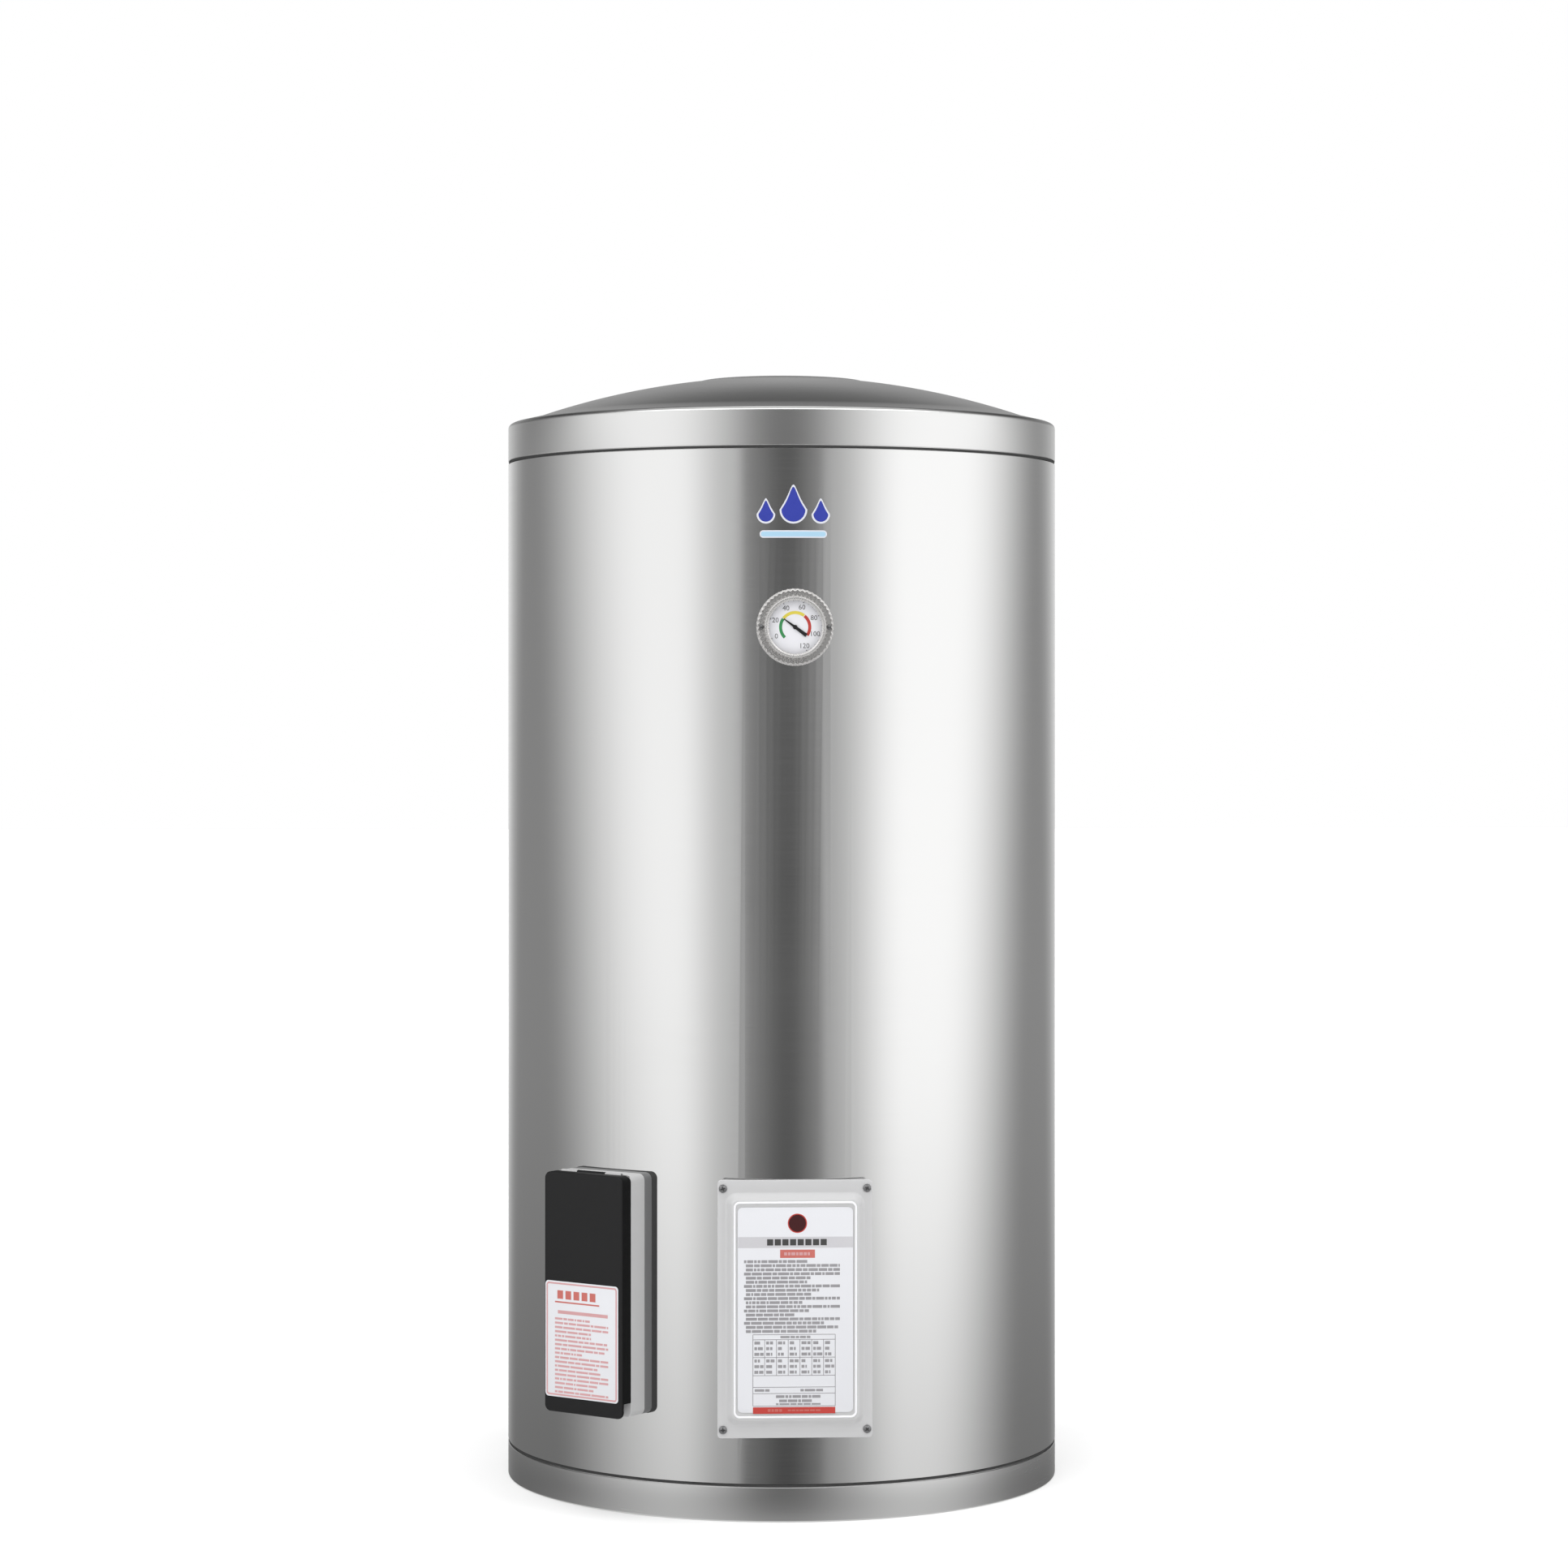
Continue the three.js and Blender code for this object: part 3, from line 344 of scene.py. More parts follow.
def map_range(tree, value, start, end, before, after, interpolation="LINEAR"):
    """A value carried from one range to another, and held at its ends."""
    sockets = {"From Min": start, "From Max": end, "To Min": before, "To Max": after, "Value": value}
    return outputs(tree, "MapRange", sockets, interpolation_type=interpolation)["Result"]


def grain_vector(tree, grain, round_axis):
    """Object coordinates scaled to the grain, or wound round the tank's axis."""
    vector = outputs(tree, "TexCoord")["Object"]
    if round_axis:
        parts = outputs(tree, "SeparateXYZ", {"Vector": vector})
        flat = outputs(tree, "CombineXYZ", {"X": parts["X"], "Y": parts["Y"]})["Vector"]
        radius = outputs(tree, "VectorMath", {0: flat}, operation="LENGTH")["Value"]
        angle = maths(tree, "ARCTAN2", parts["Y"], parts["X"])
        vector = outputs(tree, "CombineXYZ", {"X": radius, "Y": angle, "Z": parts["Z"]})["Vector"]
    return outputs(tree, "Mapping", {"Scale": grain, "Vector": vector})["Vector"]


def noise(tree, vector, scale, detail):
    return outputs(tree, "TexNoise", {"Scale": scale, "Detail": detail, "Vector": vector})["Fac"]


def look(name, tone, roughness, metallic=0.0, grain=(900, 900, 900), round_axis=False,
         shade=0.05, swing=0.06, bump=0.15, depth=0.00004, cloud=14.0, **sockets):
    """A finish: its tone drifts a little, its roughness and surface follow the grain."""
    material, tree, shader = principled(name)
    fine = noise(tree, grain_vector(tree, grain, round_axis), 1.0, 4.0)
    broad = noise(tree, outputs(tree, "TexCoord")["Object"], cloud, 3.0)
    drift = maths(tree, "MULTIPLY_ADD", fine, 0.5, maths(tree, "MULTIPLY", broad, 0.5))
    low = [c * (1 - shade) for c in tone]
    high = [min(1.0, c * (1 + shade)) for c in tone]
    ends = {"A": (*low, 1), "B": (*high, 1), "Factor": drift}
    smoothest, roughest = max(0.02, roughness - swing), min(1.0, roughness + swing)
    surface = {
        "Base Color": outputs(tree, "Mix", ends, data_type="RGBA")["Result"],
        "Roughness": map_range(tree, drift, 0.3, 0.7, smoothest, roughest),
        "Normal": outputs(tree, "Bump", {"Strength": bump, "Distance": depth, "Height": fine})["Normal"],
    }
    for socket, output in surface.items():
        tree.links.new(output, shader.inputs[socket])
    shader.inputs["Metallic"].default_value = metallic
    for socket, value in sockets.items():
        shader.inputs[socket.replace("_", " ")].default_value = value
    return material


def rolled_steel(name, tone, roughness, anisotropic=0.55, swing=0.035, bump=0.05):
    """Stainless sheet with hairlines round the tank, which draw reflections out up and down."""
    material = look(
        name, tone, roughness, metallic=1.0, grain=(1500, 3, 1500), round_axis=True,
        shade=0.012, swing=swing, bump=bump, depth=0.00002, cloud=5.0, Anisotropic=anisotropic,
    )
    tree = material.node_tree
    around = outputs(tree, "Tangent", direction_type="RADIAL", axis="Z")["Tangent"]
    tree.links.new(around, tree.nodes["Principled BSDF"].inputs["Tangent"])
    return material


def clear_glass(name):
    """A clear lens: it lets light straight through and mirrors more at a glancing angle."""
    material, tree, shader = principled(name)
    glancing = maths(tree, "POWER", outputs(tree, "LayerWeight")["Facing"], 5)
    clear = outputs(tree, "BsdfTransparent")["BSDF"]
    mirror = outputs(tree, "BsdfGlossy", {"Roughness": 0.03})["BSDF"]
    both = outputs(tree, "MixShader", {"Fac": glancing, 1: clear, 2: mirror})["Shader"]
    tree.nodes.remove(shader)
    tree.links.new(both, tree.nodes["Material Output"].inputs["Surface"])
    return material


JACKET = rolled_steel("jacket_steel", (0.82, 0.82, 0.815), 0.14)
COVER = rolled_steel("cover_steel", (0.82, 0.82, 0.815), 0.24, swing=0.02, bump=0.02)
BASE = rolled_steel("base_steel", (0.82, 0.82, 0.815), 0.26, swing=0.02, bump=0.02)
# Black rubber for the seam rings and the box's gasket; the black also stands for painted shade in the gaps
# they fill.
SEAL_AND_GAP_SHADE = look("seal_rubber", (0.028, 0.028, 0.028), 0.7, bump=0.2)
TANK = look("tank_steel", (0.60, 0.60, 0.59), 0.35, 1.0, (300, 300, 300), shade=0.08)
FOAM = look("insulation_foam", (0.75, 0.62, 0.30), 0.9, grain=(240, 240, 240), bump=0.8, depth=0.0004)
ANODE = look("anode_metal", (0.42, 0.43, 0.44), 0.55, 1.0, bump=0.3)
PIPE = look("pipe_steel", (0.66, 0.66, 0.65), 0.28, 1.0, (60, 60, 2500), bump=0.2)
COLD = look("cold_blue", (0.03, 0.12, 0.52), 0.42, bump=0.2)
HOT = look("hot_red", (0.50, 0.03, 0.02), 0.42, bump=0.2)
BRASS = look("valve_brass", (0.60, 0.42, 0.16), 0.34, 1.0, (700, 700, 700), shade=0.1, bump=0.3)
LEVER = look("lever_steel", (0.50, 0.51, 0.52), 0.38, 1.0, (100, 2000, 100), bump=0.2)
GLAND = look("gland_black", (0.022, 0.022, 0.023), 0.5, bump=0.3)
GASKET = look("element_seal", (0.03, 0.03, 0.03), 0.8, bump=0.3)
FLANGE = look("flange_steel", (0.45, 0.45, 0.45), 0.42, 1.0, (900, 60, 900), bump=0.3)
ELEMENT = look("element_steel", (0.38, 0.37, 0.36), 0.35, 1.0, bump=0.2)
SCREW = look(
    "screw_steel", (0.25, 0.25, 0.255), 0.36, 1.0, (2500, 2500, 2500), shade=0.12, bump=0.25,
)
THERMOSTAT = look("thermostat_black", (0.02, 0.02, 0.021), 0.42, bump=0.25)
GREY_KNOB = look("dial_grey", (0.16, 0.165, 0.17), 0.45, bump=0.3)
BUTTON = look("button_red", (0.46, 0.03, 0.025), 0.4, bump=0.2)
PANEL = look(
    "panel_grey", (0.462, 0.462, 0.466), 0.34, grain=(1100, 1100, 1100), shade=0.015,
    bump=0.35, depth=0.00005, Coat_Weight=0.25, Coat_Roughness=0.3,
)
LABEL = look(
    "printed_label", (0.59, 0.595, 0.62), 0.42, grain=(2500, 2500, 2500), shade=0.012, bump=0.1,
)
GAUGE_STEEL = look("gauge_steel", (0.60, 0.59, 0.58), 0.28, 0.68, (1800, 1800, 1800), bump=0.12)
GAUGE_WHITE = look(
    "gauge_white", (0.68, 0.68, 0.71), 0.5, grain=(2500, 2500, 2500), shade=0.01, bump=0.05,
)
LENS = clear_glass("gauge_glass")
POINTER = look("pointer_black", (0.012, 0.012, 0.013), 0.4, bump=0.1)
# The door's black made darker for its side faces: painted shade on the sides.
DOOR_SIDE_SHADE = look("door_side_painted_shade", (0.004, 0.004, 0.0042), 0.5, bump=0.22, Specular_IOR_Level=0.1)
BOX_GREY = look("box_grey", (0.115, 0.116, 0.118), 0.42, bump=0.35)
BOX_SILVER = look("box_silver", (0.40, 0.40, 0.402), 0.36, bump=0.25, shade=0.03)
DOOR = look(
    "door_black", (0.013, 0.013, 0.0135), 0.36, bump=0.22, depth=0.00006, Specular_IOR_Level=0.16,
)
BREAKER = look("breaker_white", (0.70, 0.70, 0.69), 0.4, bump=0.25)
TOGGLE = look("toggle_black", (0.014, 0.014, 0.015), 0.4, bump=0.2)
LAMP = look("lamp_green", (0.02, 0.34, 0.08), 0.18, bump=0.02, Coat_Weight=0.6)
BRACKET = look("bracket_steel", (0.56, 0.57, 0.575), 0.4, 1.0, (260, 260, 260), shade=0.1, bump=0.4)
# The bead round the label, much paler than the panel's grey: a painted highlight along its crest.
BEAD_PAINTED_HIGHLIGHT = look("bead_painted_highlight", (0.74, 0.74, 0.76), 0.3, grain=(1500, 1500, 1500), shade=0.01, bump=0.1)


def ink(name, tone, shade, roughness=0.5):
    return look(name, tone, roughness, grain=(2600, 2600, 2600), shade=shade, bump=0.05)


INK_GREY = ink("ink_grey", (0.24, 0.235, 0.245), 0.25)
INK_PALE = ink("ink_pale", (0.46, 0.455, 0.475), 0.1)
INK_BLACK = ink("ink_black", (0.045, 0.045, 0.045), 0.2)
INK_RED = ink("ink_red", (0.42, 0.035, 0.026), 0.12, 0.48)
INK_DARK_RED = ink("ink_dark_red", (0.045, 0.003, 0.004), 0.2, 0.45)
INK_PINK = ink("ink_pink", (0.50, 0.27, 0.275), 0.12)
INK_ROSE = ink("ink_rose", (0.45, 0.115, 0.095), 0.15)
INK_YELLOW = ink("ink_yellow", (0.62, 0.52, 0.06), 0.1)
INK_GREEN = ink("ink_green", (0.03, 0.23, 0.07), 0.15)
INK_BLUE = ink("ink_blue", (0.022, 0.036, 0.30), 0.15, 0.42)
INK_SKY = ink("ink_sky", (0.33, 0.52, 0.66), 0.08, 0.42)
INK_WHITE = ink("ink_white", (0.58, 0.59, 0.64), 0.03, 0.42)

NODE_LOOKS = [  # finishes of the CAD nodes that are carried over
    (TANK, ["inner_tank"]),
    (FOAM, ["foam_jacket", "foam_top", "foam_bottom"]),
    (ANODE, ["anode_rod"]),
    (GASKET, ["element_gasket"]),
    (FLANGE, ["element_flange"]),
    (ELEMENT, ["heating_element_left", "heating_element_right"]),
    (SCREW, ["door_hinge_pin", *("flange_bolt_" + str(i) for i in (1, 2, 3, 4))]),
    (THERMOSTAT, ["thermostat_body"]),
    (GREY_KNOB, ["thermostat_dial"]),
    (BUTTON, ["reset_button", "test_button"]),
    (PANEL, ["panel_seat"]),
    (BRASS, ["gauge_stem", "drain_valve_body", "relief_valve_body"]),
    (GAUGE_STEEL, ["gauge_case"]),
    (BOX_GREY, ["box_fascia"]),
    (BREAKER, ["breaker_body", "terminal_block"]),
    (TOGGLE, ["breaker_toggle"]),
    (LAMP, ["pilot_lamp"]),
    (HOT, ["drain_handle"]),
    (LEVER, ["relief_lever"]),
    (GLAND, ["cable_gland"]),
]
SOFTENED = {  # CAD nodes whose edges are rounded, and by how many millimetres
    "box_fascia": 0.4,
    "breaker_body": 0.4,
    "terminal_block": 0.4,
    "breaker_toggle": 0.5,
    "test_button": 0.3,
    "drain_valve_body": 0.4,
    "drain_handle": 0.5,
    "relief_valve_body": 0.3,
    "relief_lever": 0.4,
    "cable_gland": 0.4,
    "thermostat_body": 0.5,
    "thermostat_dial": 0.3,
}
IN_THE_BOX = (  # CAD nodes behind the door, which the steel doesn't mirror
    "box_fascia", "breaker_body", "terminal_block", "door_hinge_pin", "breaker_toggle",
    "test_button", "pilot_lamp",
)


def dress_nodes():
    """Gives the carried-over nodes their finishes, and rounds the edges of those that show."""
    for material, names in NODE_LOOKS:
        for name in names:
            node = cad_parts[name]
            node.data.materials.clear()
            node.data.materials.append(material)
    for name in IN_THE_BOX:
        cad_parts[name].visible_glossy = False
    for name, width in SOFTENED.items():
        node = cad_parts[name]
        weld = node.modifiers.new("weld", "WELD")
        weld.merge_threshold = 0.00001
        soften(node, width)


def add(piece, material, body="heater", node=None, mirrored=True):
    """Finishes a piece, rides it on its body and lets it stand for its CAD node.

    The steel mirrors neither the door nor a piece that isn't mirrored.
    """
    piece.visible_glossy = mirrored and body != "door"
    piece.data.materials.clear()
    piece.data.materials.append(material)
    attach(piece, body)
    if node:
        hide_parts(node)


# ---------------------------------------------------------------- jacket and covers


def dome_z(r):
    """The dome's height at this radius, on a large sphere."""
    def sphere(radius):
        return math.sqrt(DOME_SPHERE_R ** 2 - radius ** 2)
    return DOME_EDGE_Z + sphere(r) - sphere(DOME_EDGE_R)


def jacket():
    """The rolled jacket, with its holes and a folded seam down the back."""
    lip = 0.25
    outline = [
        (SHELL_R - SHELL_T, SHELL_LOW),
        (SHELL_R - lip, SHELL_LOW),
        (SHELL_R, SHELL_LOW + lip),
        (SHELL_R, SHELL_HIGH - lip),
        (SHELL_R - lip, SHELL_HIGH),
        (SHELL_R - SHELL_T, SHELL_HIGH),
    ]
    shell = made("jacket", lambda shape: lathe(shape, outline, ROUND, closed=True))
    levels = [(0, z) for z in THROUGH]
    window = made("window", lambda shape: stack(shape, WINDOW, levels), facing(PANEL_Z))
    holes = [
        drill(facing(GAUGE_Z), GAUGE_CASE_R + GAP, *THROUGH),
        drill(facing(BOX_Z - WIRE_HOLE_DROP, BOX_TURN), WIRE_HOLE_R + 0.5, *THROUGH),
    ]
    for side in (-1, 1):
        spot = (side * GAUGE_SCREW_R, 0)
        holes.append(drill(facing(GAUGE_Z), SHANK_R, *THROUGH, at=spot, sides=24))
    cut(shell, window, *holes)
    add(shell, JACKET, node="outer_shell")

    half_w, half_t = 4, 0.3
    sides = ((-half_w, half_w), (SHELL_LOW + 1, SHELL_HIGH - 1), (SHELL_R - half_t, SHELL_R + half_t))
    fold = made("jacket_seam", lambda shape: block(shape, *sides, 0.2), facing(0, 180))
    add(fold, JACKET)


def top_cover():
    """The band, its rolled corner, a shallow flange, the pressed dome and its flat centre."""
    thick, edge, rings = 1.2, 0.4, 28
    dome_end = PLATEAU_R + 6
    corner = arc(SHELL_R - COVER_CORNER_R, BAND_TOP, COVER_CORNER_R, 0, 90 - FLANGE_SLOPE, 8)
    dome = []
    for i in range(rings + 1):
        r = DOME_EDGE_R + (dome_end - DOME_EDGE_R) * i / rings
        dome.append((r, dome_z(r)))
    plateau = [(PLATEAU_R, PLATEAU_Z - 0.15), *((r, PLATEAU_Z) for r in (PLATEAU_R - 4, 30, 0))]
    above = [(0, PLATEAU_Z), (PLATEAU_R, PLATEAU_Z - 0.2), *reversed(dome[::4])]
    inside = [(r, z - thick) for r, z in above]
    inner = COLLAR_R - COLLAR_T
    skirt = [
        (inner, BAND_TOP),
        (inner, COVER_LOW),
        (COLLAR_R, COVER_LOW),
        (COLLAR_R, SEAM_COVER),
        (SHELL_R - edge, SEAM_COVER),
        (SHELL_R, SEAM_COVER + edge),
    ]
    outline = inside + skirt + corner + dome + plateau
    cover = made("top_cap", lambda shape: lathe(shape, outline, ROUND))
    add(cover, COVER, node="top_cover")


def bottom_band():
    """The band under the jacket, with a rolled lower hem and a collar inside the jacket."""
    inner = COLLAR_R - COLLAR_T
    hem, edge = 1.2, 0.4
    outline = [
        *arc(inner + hem, hem, hem, 180, 270, 4),
        *arc(SHELL_R - hem, hem, hem, 270, 360, 4),
        (SHELL_R, SEAM_BAND - edge),
        (SHELL_R - edge, SEAM_BAND),
        (COLLAR_R, SEAM_BAND),
        (COLLAR_R, BAND_FLOOR),
        (inner, BAND_FLOOR),
    ]
    band = made("base_band", lambda shape: lathe(shape, outline, ROUND, closed=True))
    add(band, BASE, node="bottom_band")


def seals():
    """The two black rubber rings in the seams, with rounded outer edges; their black also stands for
    painted shade in the seams' gaps.
    """
    inner, outer = COLLAR_R + GAP, SHELL_R - 0.4
    edge_r, edge_h = 0.3, 0.4
    for node in ("top_seal_ring", "bottom_seal_ring"):
        low, high = mm(node)
        outline = [
            (inner, low.z), (outer - edge_r, low.z), (outer, low.z + edge_h),
            (outer, high.z - edge_h), (outer - edge_r, high.z), (inner, high.z),
        ]
        ring = made(node + "_fine", lambda shape: lathe(shape, outline, ROUND, closed=True))
        add(ring, SEAL_AND_GAP_SHADE, node=node)


PIPE_X, PIPE_Y, PIPE_R, PIPE_BORE = 100, 60, 10.5, 8
DRAIN_Y, RELIEF_Y = -70, 120
GLAND_SPOT = (-118, -132)
STEM_R = 8


def bottom_plate():
    """The recessed plate, with two pressed rings and holes for the fittings."""
    low, high = mm("bottom_plate")
    bead_h, bead_half, clearance = 1.2, 5, 0.5

    def bead(r):
        top = low.z + bead_h
        return [
            (r + bead_half, low.z), (r + bead_half / 2, top),
            (r - bead_half / 2, top), (r - bead_half, low.z),
        ]

    outline = [(0, high.z), (high.x, high.z), (high.x, low.z), *bead(205), *bead(30), (0, low.z)]
    plate = made("floor_pan", lambda shape: lathe(shape, outline, ROUND))
    spots = [(side * PIPE_X, PIPE_Y, PIPE_R) for side in (-1, 1)]
    spots += [(0, y, STEM_R) for y in (DRAIN_Y, RELIEF_Y)]
    spots.append((*GLAND_SPOT, STEM_R))
    cut(plate, *(drill(None, r + clearance, 0, 90, (x, y), 64) for x, y, r in spots))
    add(plate, BASE, node="bottom_plate")


def pipes():
    """Two pipes with pipe thread on their ends, and the coloured collars round them."""
    turns, pitch, depth, sides = 9, 1.8, 0.9, 64
    root, crest, collar_r, edge, clearance = PIPE_R - depth, PIPE_R - 0.1, 17, 1.2, 0.5
    for pipe_node, collar_node, side, ring_look in (
        ("cold_inlet_pipe", "cold_port_collar", 1, COLD),
        ("hot_outlet_pipe", "hot_port_collar", -1, HOT),
    ):
        place = Matrix.Translation((side * PIPE_X, PIPE_Y, 0))
        low, high = mm(pipe_node)
        first = low.z + 1
        ridge = [(root, low.z), (root, low.z + 0.6)]
        for i in range(turns):
            z = first + i * pitch
            ridge += [(root, z), (crest, z + pitch * 0.45), (crest, z + pitch * 0.6)]
        end = first + turns * pitch
        ridge += [(root, end), (PIPE_R, end + 2), (PIPE_R, high.z)]
        outline = [(PIPE_BORE, low.z + 0.5), (PIPE_BORE + 0.5, low.z), *ridge, (PIPE_BORE, high.z)]
        name = pipe_node + "_threaded"
        pipe = made(name, lambda shape: lathe(shape, outline, sides, closed=True), place, 25)
        add(pipe, PIPE, node=pipe_node)
        low, high = mm(collar_node)
        bore = PIPE_R + clearance
        rim = arc(collar_r - edge, low.z + edge, edge, 270, 360, 4)
        outline = [(bore, low.z), *rim, (collar_r, high.z), (bore, high.z)]
        name = collar_node + "_rounded"
        ring = made(name, lambda shape: lathe(shape, outline, sides, closed=True), place)
        add(ring, ring_look, node=collar_node)


# ---------------------------------------------------------------- access panel


def access_panel():
    """Pressed sheet: a flat rim and a sloped embossing, with a bead round the label, made pale as a painted
    highlight.
    """
    place = facing(PANEL_Z)
    back, steps = PANEL_FACE - PANEL_T, 8
    slope = []
    for i in range(steps + 1):
        t = i / steps
        eased = t * t * (3 - 2 * t)
        slope.append((EMBOSS_SLOPE * t, PANEL_FACE + (EMBOSS_FACE - PANEL_FACE) * eased))

    def sheet(shape):
        levels = [(0, back), *rounded_edge(0, PANEL_FACE, 0.5, 3)]
        stack(shape, (PANEL_W, PANEL_H, PANEL_CORNER), levels)

    def raised(shape):
        levels = [(0, back), *slope, (EMBOSS_SLOPE + 1, EMBOSS_FACE)]
        stack(shape, (EMBOSS_W, EMBOSS_H, EMBOSS_CORNER), levels)

    def hollow(shape):
        levels = [(0, PANEL_FACE - 3), (EMBOSS_SLOPE, EMBOSS_FACE - PANEL_T)]
        stack(shape, (EMBOSS_W - 3, EMBOSS_H - 3, EMBOSS_CORNER - 1), levels)

    def bead(shape):
        half, foot, gap = RIM_W / 2, EMBOSS_FACE - 0.2, 0.2
        crest = arc(half, 0, half, 180, 0, steps)
        crest = [(inset, EMBOSS_FACE + RIM_H * rise / half) for inset, rise in crest]
        size = [side - 2 * EMBOSS_SLOPE - 2 * gap for side in (EMBOSS_W, EMBOSS_H)]
        stack(shape, (*size, 5), [(0, foot), *crest, (RIM_W, foot)], closed=True)

    panel = made("panel_sheet", sheet, place)
    join(panel, made("raised", raised, place))
    holes = [
        drill(place, SHANK_R + 0.5, 200, 260, (x * SCREW_X, y * SCREW_Y), 32)
        for x in (-1, 1) for y in (-1, 1)
    ]
    cut(panel, made("hollow", hollow, place), *holes)
    add(panel, PANEL, node="access_panel")
    add(made("label_rim", bead, place), BEAD_PAINTED_HIGHLIGHT)


def pan_screw(shape, spot, face, head_r, head_h):
    """A domed screw head on its shank."""
    start = len(shape.verts)
    seat = face + GAP
    top = seat + head_h
    sink = 0.9 * head_r
    dome = arc(0, 0, math.hypot(head_r, sink), 42, 90, 6)
    lift = top - dome[-1][1]
    dome = [(min(r, head_r), max(z + lift, seat + 0.3)) for r, z in dome[:-1]]
    shank = [(0, face - 7), (SHANK_R, face - 7), (SHANK_R, seat), (head_r, seat)]
    lathe(shape, [*shank, *dome, (0, top)], 48)
    bmesh.ops.translate(shape, verts=verts_after(shape, start), vec=(*spot, 0))


def screws():
    """Four cross-head screws hold the panel and two slotted ones the thermometer."""
    def screw(name, spot, height, turn, face, head, slots):
        head_r, head_h = head
        place = facing(height)
        piece = made(name + "_head", lambda shape: pan_screw(shape, spot, face, head_r, head_h), place)
        place = place @ Matrix.Translation((*spot, 0)) @ Matrix.Rotation(turn, 4, "Z")
        top = face + GAP + head_h
        for half_x, half_y, depth in slots:
            sides = (-half_x, half_x), (-half_y, half_y), (top - depth, top + 2)
            cut(piece, made("slot", lambda shape: block(shape, *sides), place))
        add(piece, SCREW, node=name)

    cross = [(1.9, 0.4, 1.1), (0.4, 1.9, 1.1)]
    for i, (x, y) in enumerate([(-1, 1), (1, 1), (-1, -1), (1, -1)]):
        spot = (x * SCREW_X, y * SCREW_Y)
        turn = math.radians(20 + 37 * i)
        screw("panel_screw_" + str(i + 1), spot, PANEL_Z, turn, PANEL_FACE, (3.25, 1.9), cross)
    for name, side in (("left", -1), ("right", 1)):
        spot = (side * GAUGE_SCREW_R, 0)
        screw("gauge_screw_" + name, spot, GAUGE_Z, 0.3 * side, CHANNEL, (2.1, 1.3), [(3, 0.3, 0.7)])


# ---------------------------------------------------------------- printing

INK_T = 0.05  # thickness of a printed layer


def printed(name, bars, face, place, material, body="heater"):
    """Flat printed bars of (x0, x1, y0, y1), as one thin piece just proud of their label."""
    def build(shape):
        for x0, x1, y0, y1 in bars:
            block(shape, (x0, x1), (y0, y1), (face - INK_T, face + INK_T))
    add(made(name, build, place), material, body)


def words(x0, x1, y, height, longest=9.0, space=0.7):
    """A line of plain bars with small spaces, which stands for a line of print."""
    bars = []
    x = x0
    while x < x1 - 1:
        length = min(random.uniform(1.6, longest), x1 - x)
        bars.append((x, x + length, y - height / 2, y + height / 2))
        x += length + space
    return bars


def squares(first, pitch, width, count, y0, y1):
    """Plain squares in a row, which stand for a title."""
    return [(first + i * pitch, first + i * pitch + width, y0, y1) for i in range(count)]


def panel_label():
    """The notice on the access panel: a badge, a title band, lines of print, a table and a bar."""
    place = facing(PANEL_Z)
    face = LABEL_FACE
    over = face + 2 * INK_T
    levels = [(0, EMBOSS_FACE + GAP), *rounded_edge(0, face, 0.15, 2)]
    notice = made("notice", lambda shape: stack(shape, (LABEL_W, LABEL_H, 4), levels), place)
    add(notice, LABEL, node="panel_label")
    band_x = LABEL_W / 2 - 0.3
    printed("notice_band", [(-band_x, band_x, 49.5, 58.2)], face, place, INK_PALE)
    printed("notice_title", squares(-22.6, 6.1, 4.9, 8, 51.4, 56.4), over, place, INK_BLACK)
    printed("notice_pill", [(-12.2, 15.6, 41.4, 48)], face, place, INK_ROSE)
    printed("notice_pill_words", words(-9, 12.5, 44.7, 2.4, 4.0), over, place, INK_PINK)

    row_pitch, rows, first_row, row_h = 3.27, 18, 38.6, 2.25
    full_rows, full_end = (1, 2, 3, 6, 9, 11, 14, 16), 35.5
    lines = []
    for i in range(rows):
        end = full_end if i in full_rows else random.uniform(-4, 24)
        indent = -39.5 if i % 3 else -41
        lines += words(indent, end, first_row - i * row_pitch, row_h)
    printed("notice_lines", lines, face, place, INK_GREY)

    left, right, top, bottom = -33.9, 31.8, -19.6, -76.5
    half_rule, columns = 0.25, 7
    head_y, grid_y = -23.6, -52.2  # the rules over and under the columns
    column_w = (right - left) / columns
    rules = [
        (left, right, y - half_rule, y + half_rule)
        for y in (top, head_y, -37.8, grid_y, -61.5, -66.5, bottom)
    ]
    rules += [(x - half_rule, x + half_rule, bottom, top) for x in (left, right)]
    for i in range(1, columns):
        x = left + i * column_w
        rules.append((x - half_rule, x + half_rule, grid_y, head_y))
    cells = []
    for i in range(columns):
        x = left + i * column_w + 1.2
        for y in (-26.2, -30.7, -35.2, -40.5, -45, -49.5):
            cells += words(x, x + random.uniform(4, column_w - 2), y, 2.4, 5.0)
    for x0, x1, y, height in (
        (-12, 12, -21.6, 1.8), (-32.5, -20, -64, 2), (4, 22, -64, 2),
        (-15.5, 20, -69, 2.2), (-13, 14, -72.4, 2.2), (-15.5, 20, -75, 1.4),
    ):
        cells += words(x0, x1, y, height)
    printed("notice_table", rules, face, place, INK_GREY)
    printed("notice_cells", cells, face, place, INK_GREY)
    printed("notice_bar", [(left, right, -82.6, -77.4)], face, place, INK_RED)
    bar_words = words(-22, -10, -80, 2, 4.0) + words(-6, 20, -80, 1.2)
    printed("notice_bar_words", bar_words, over, place, INK_ROSE)
    spot = (1.6, 69)
    for name, r, middle, ink in (("badge_edge", 7.7, face, INK_RED), ("badge", 6.8, over, INK_DARK_RED)):
        ends = (middle - INK_T, middle + INK_T)
        add(made(name, lambda shape: rod(shape, r, *ends, sides=64, at=spot), place), ink)


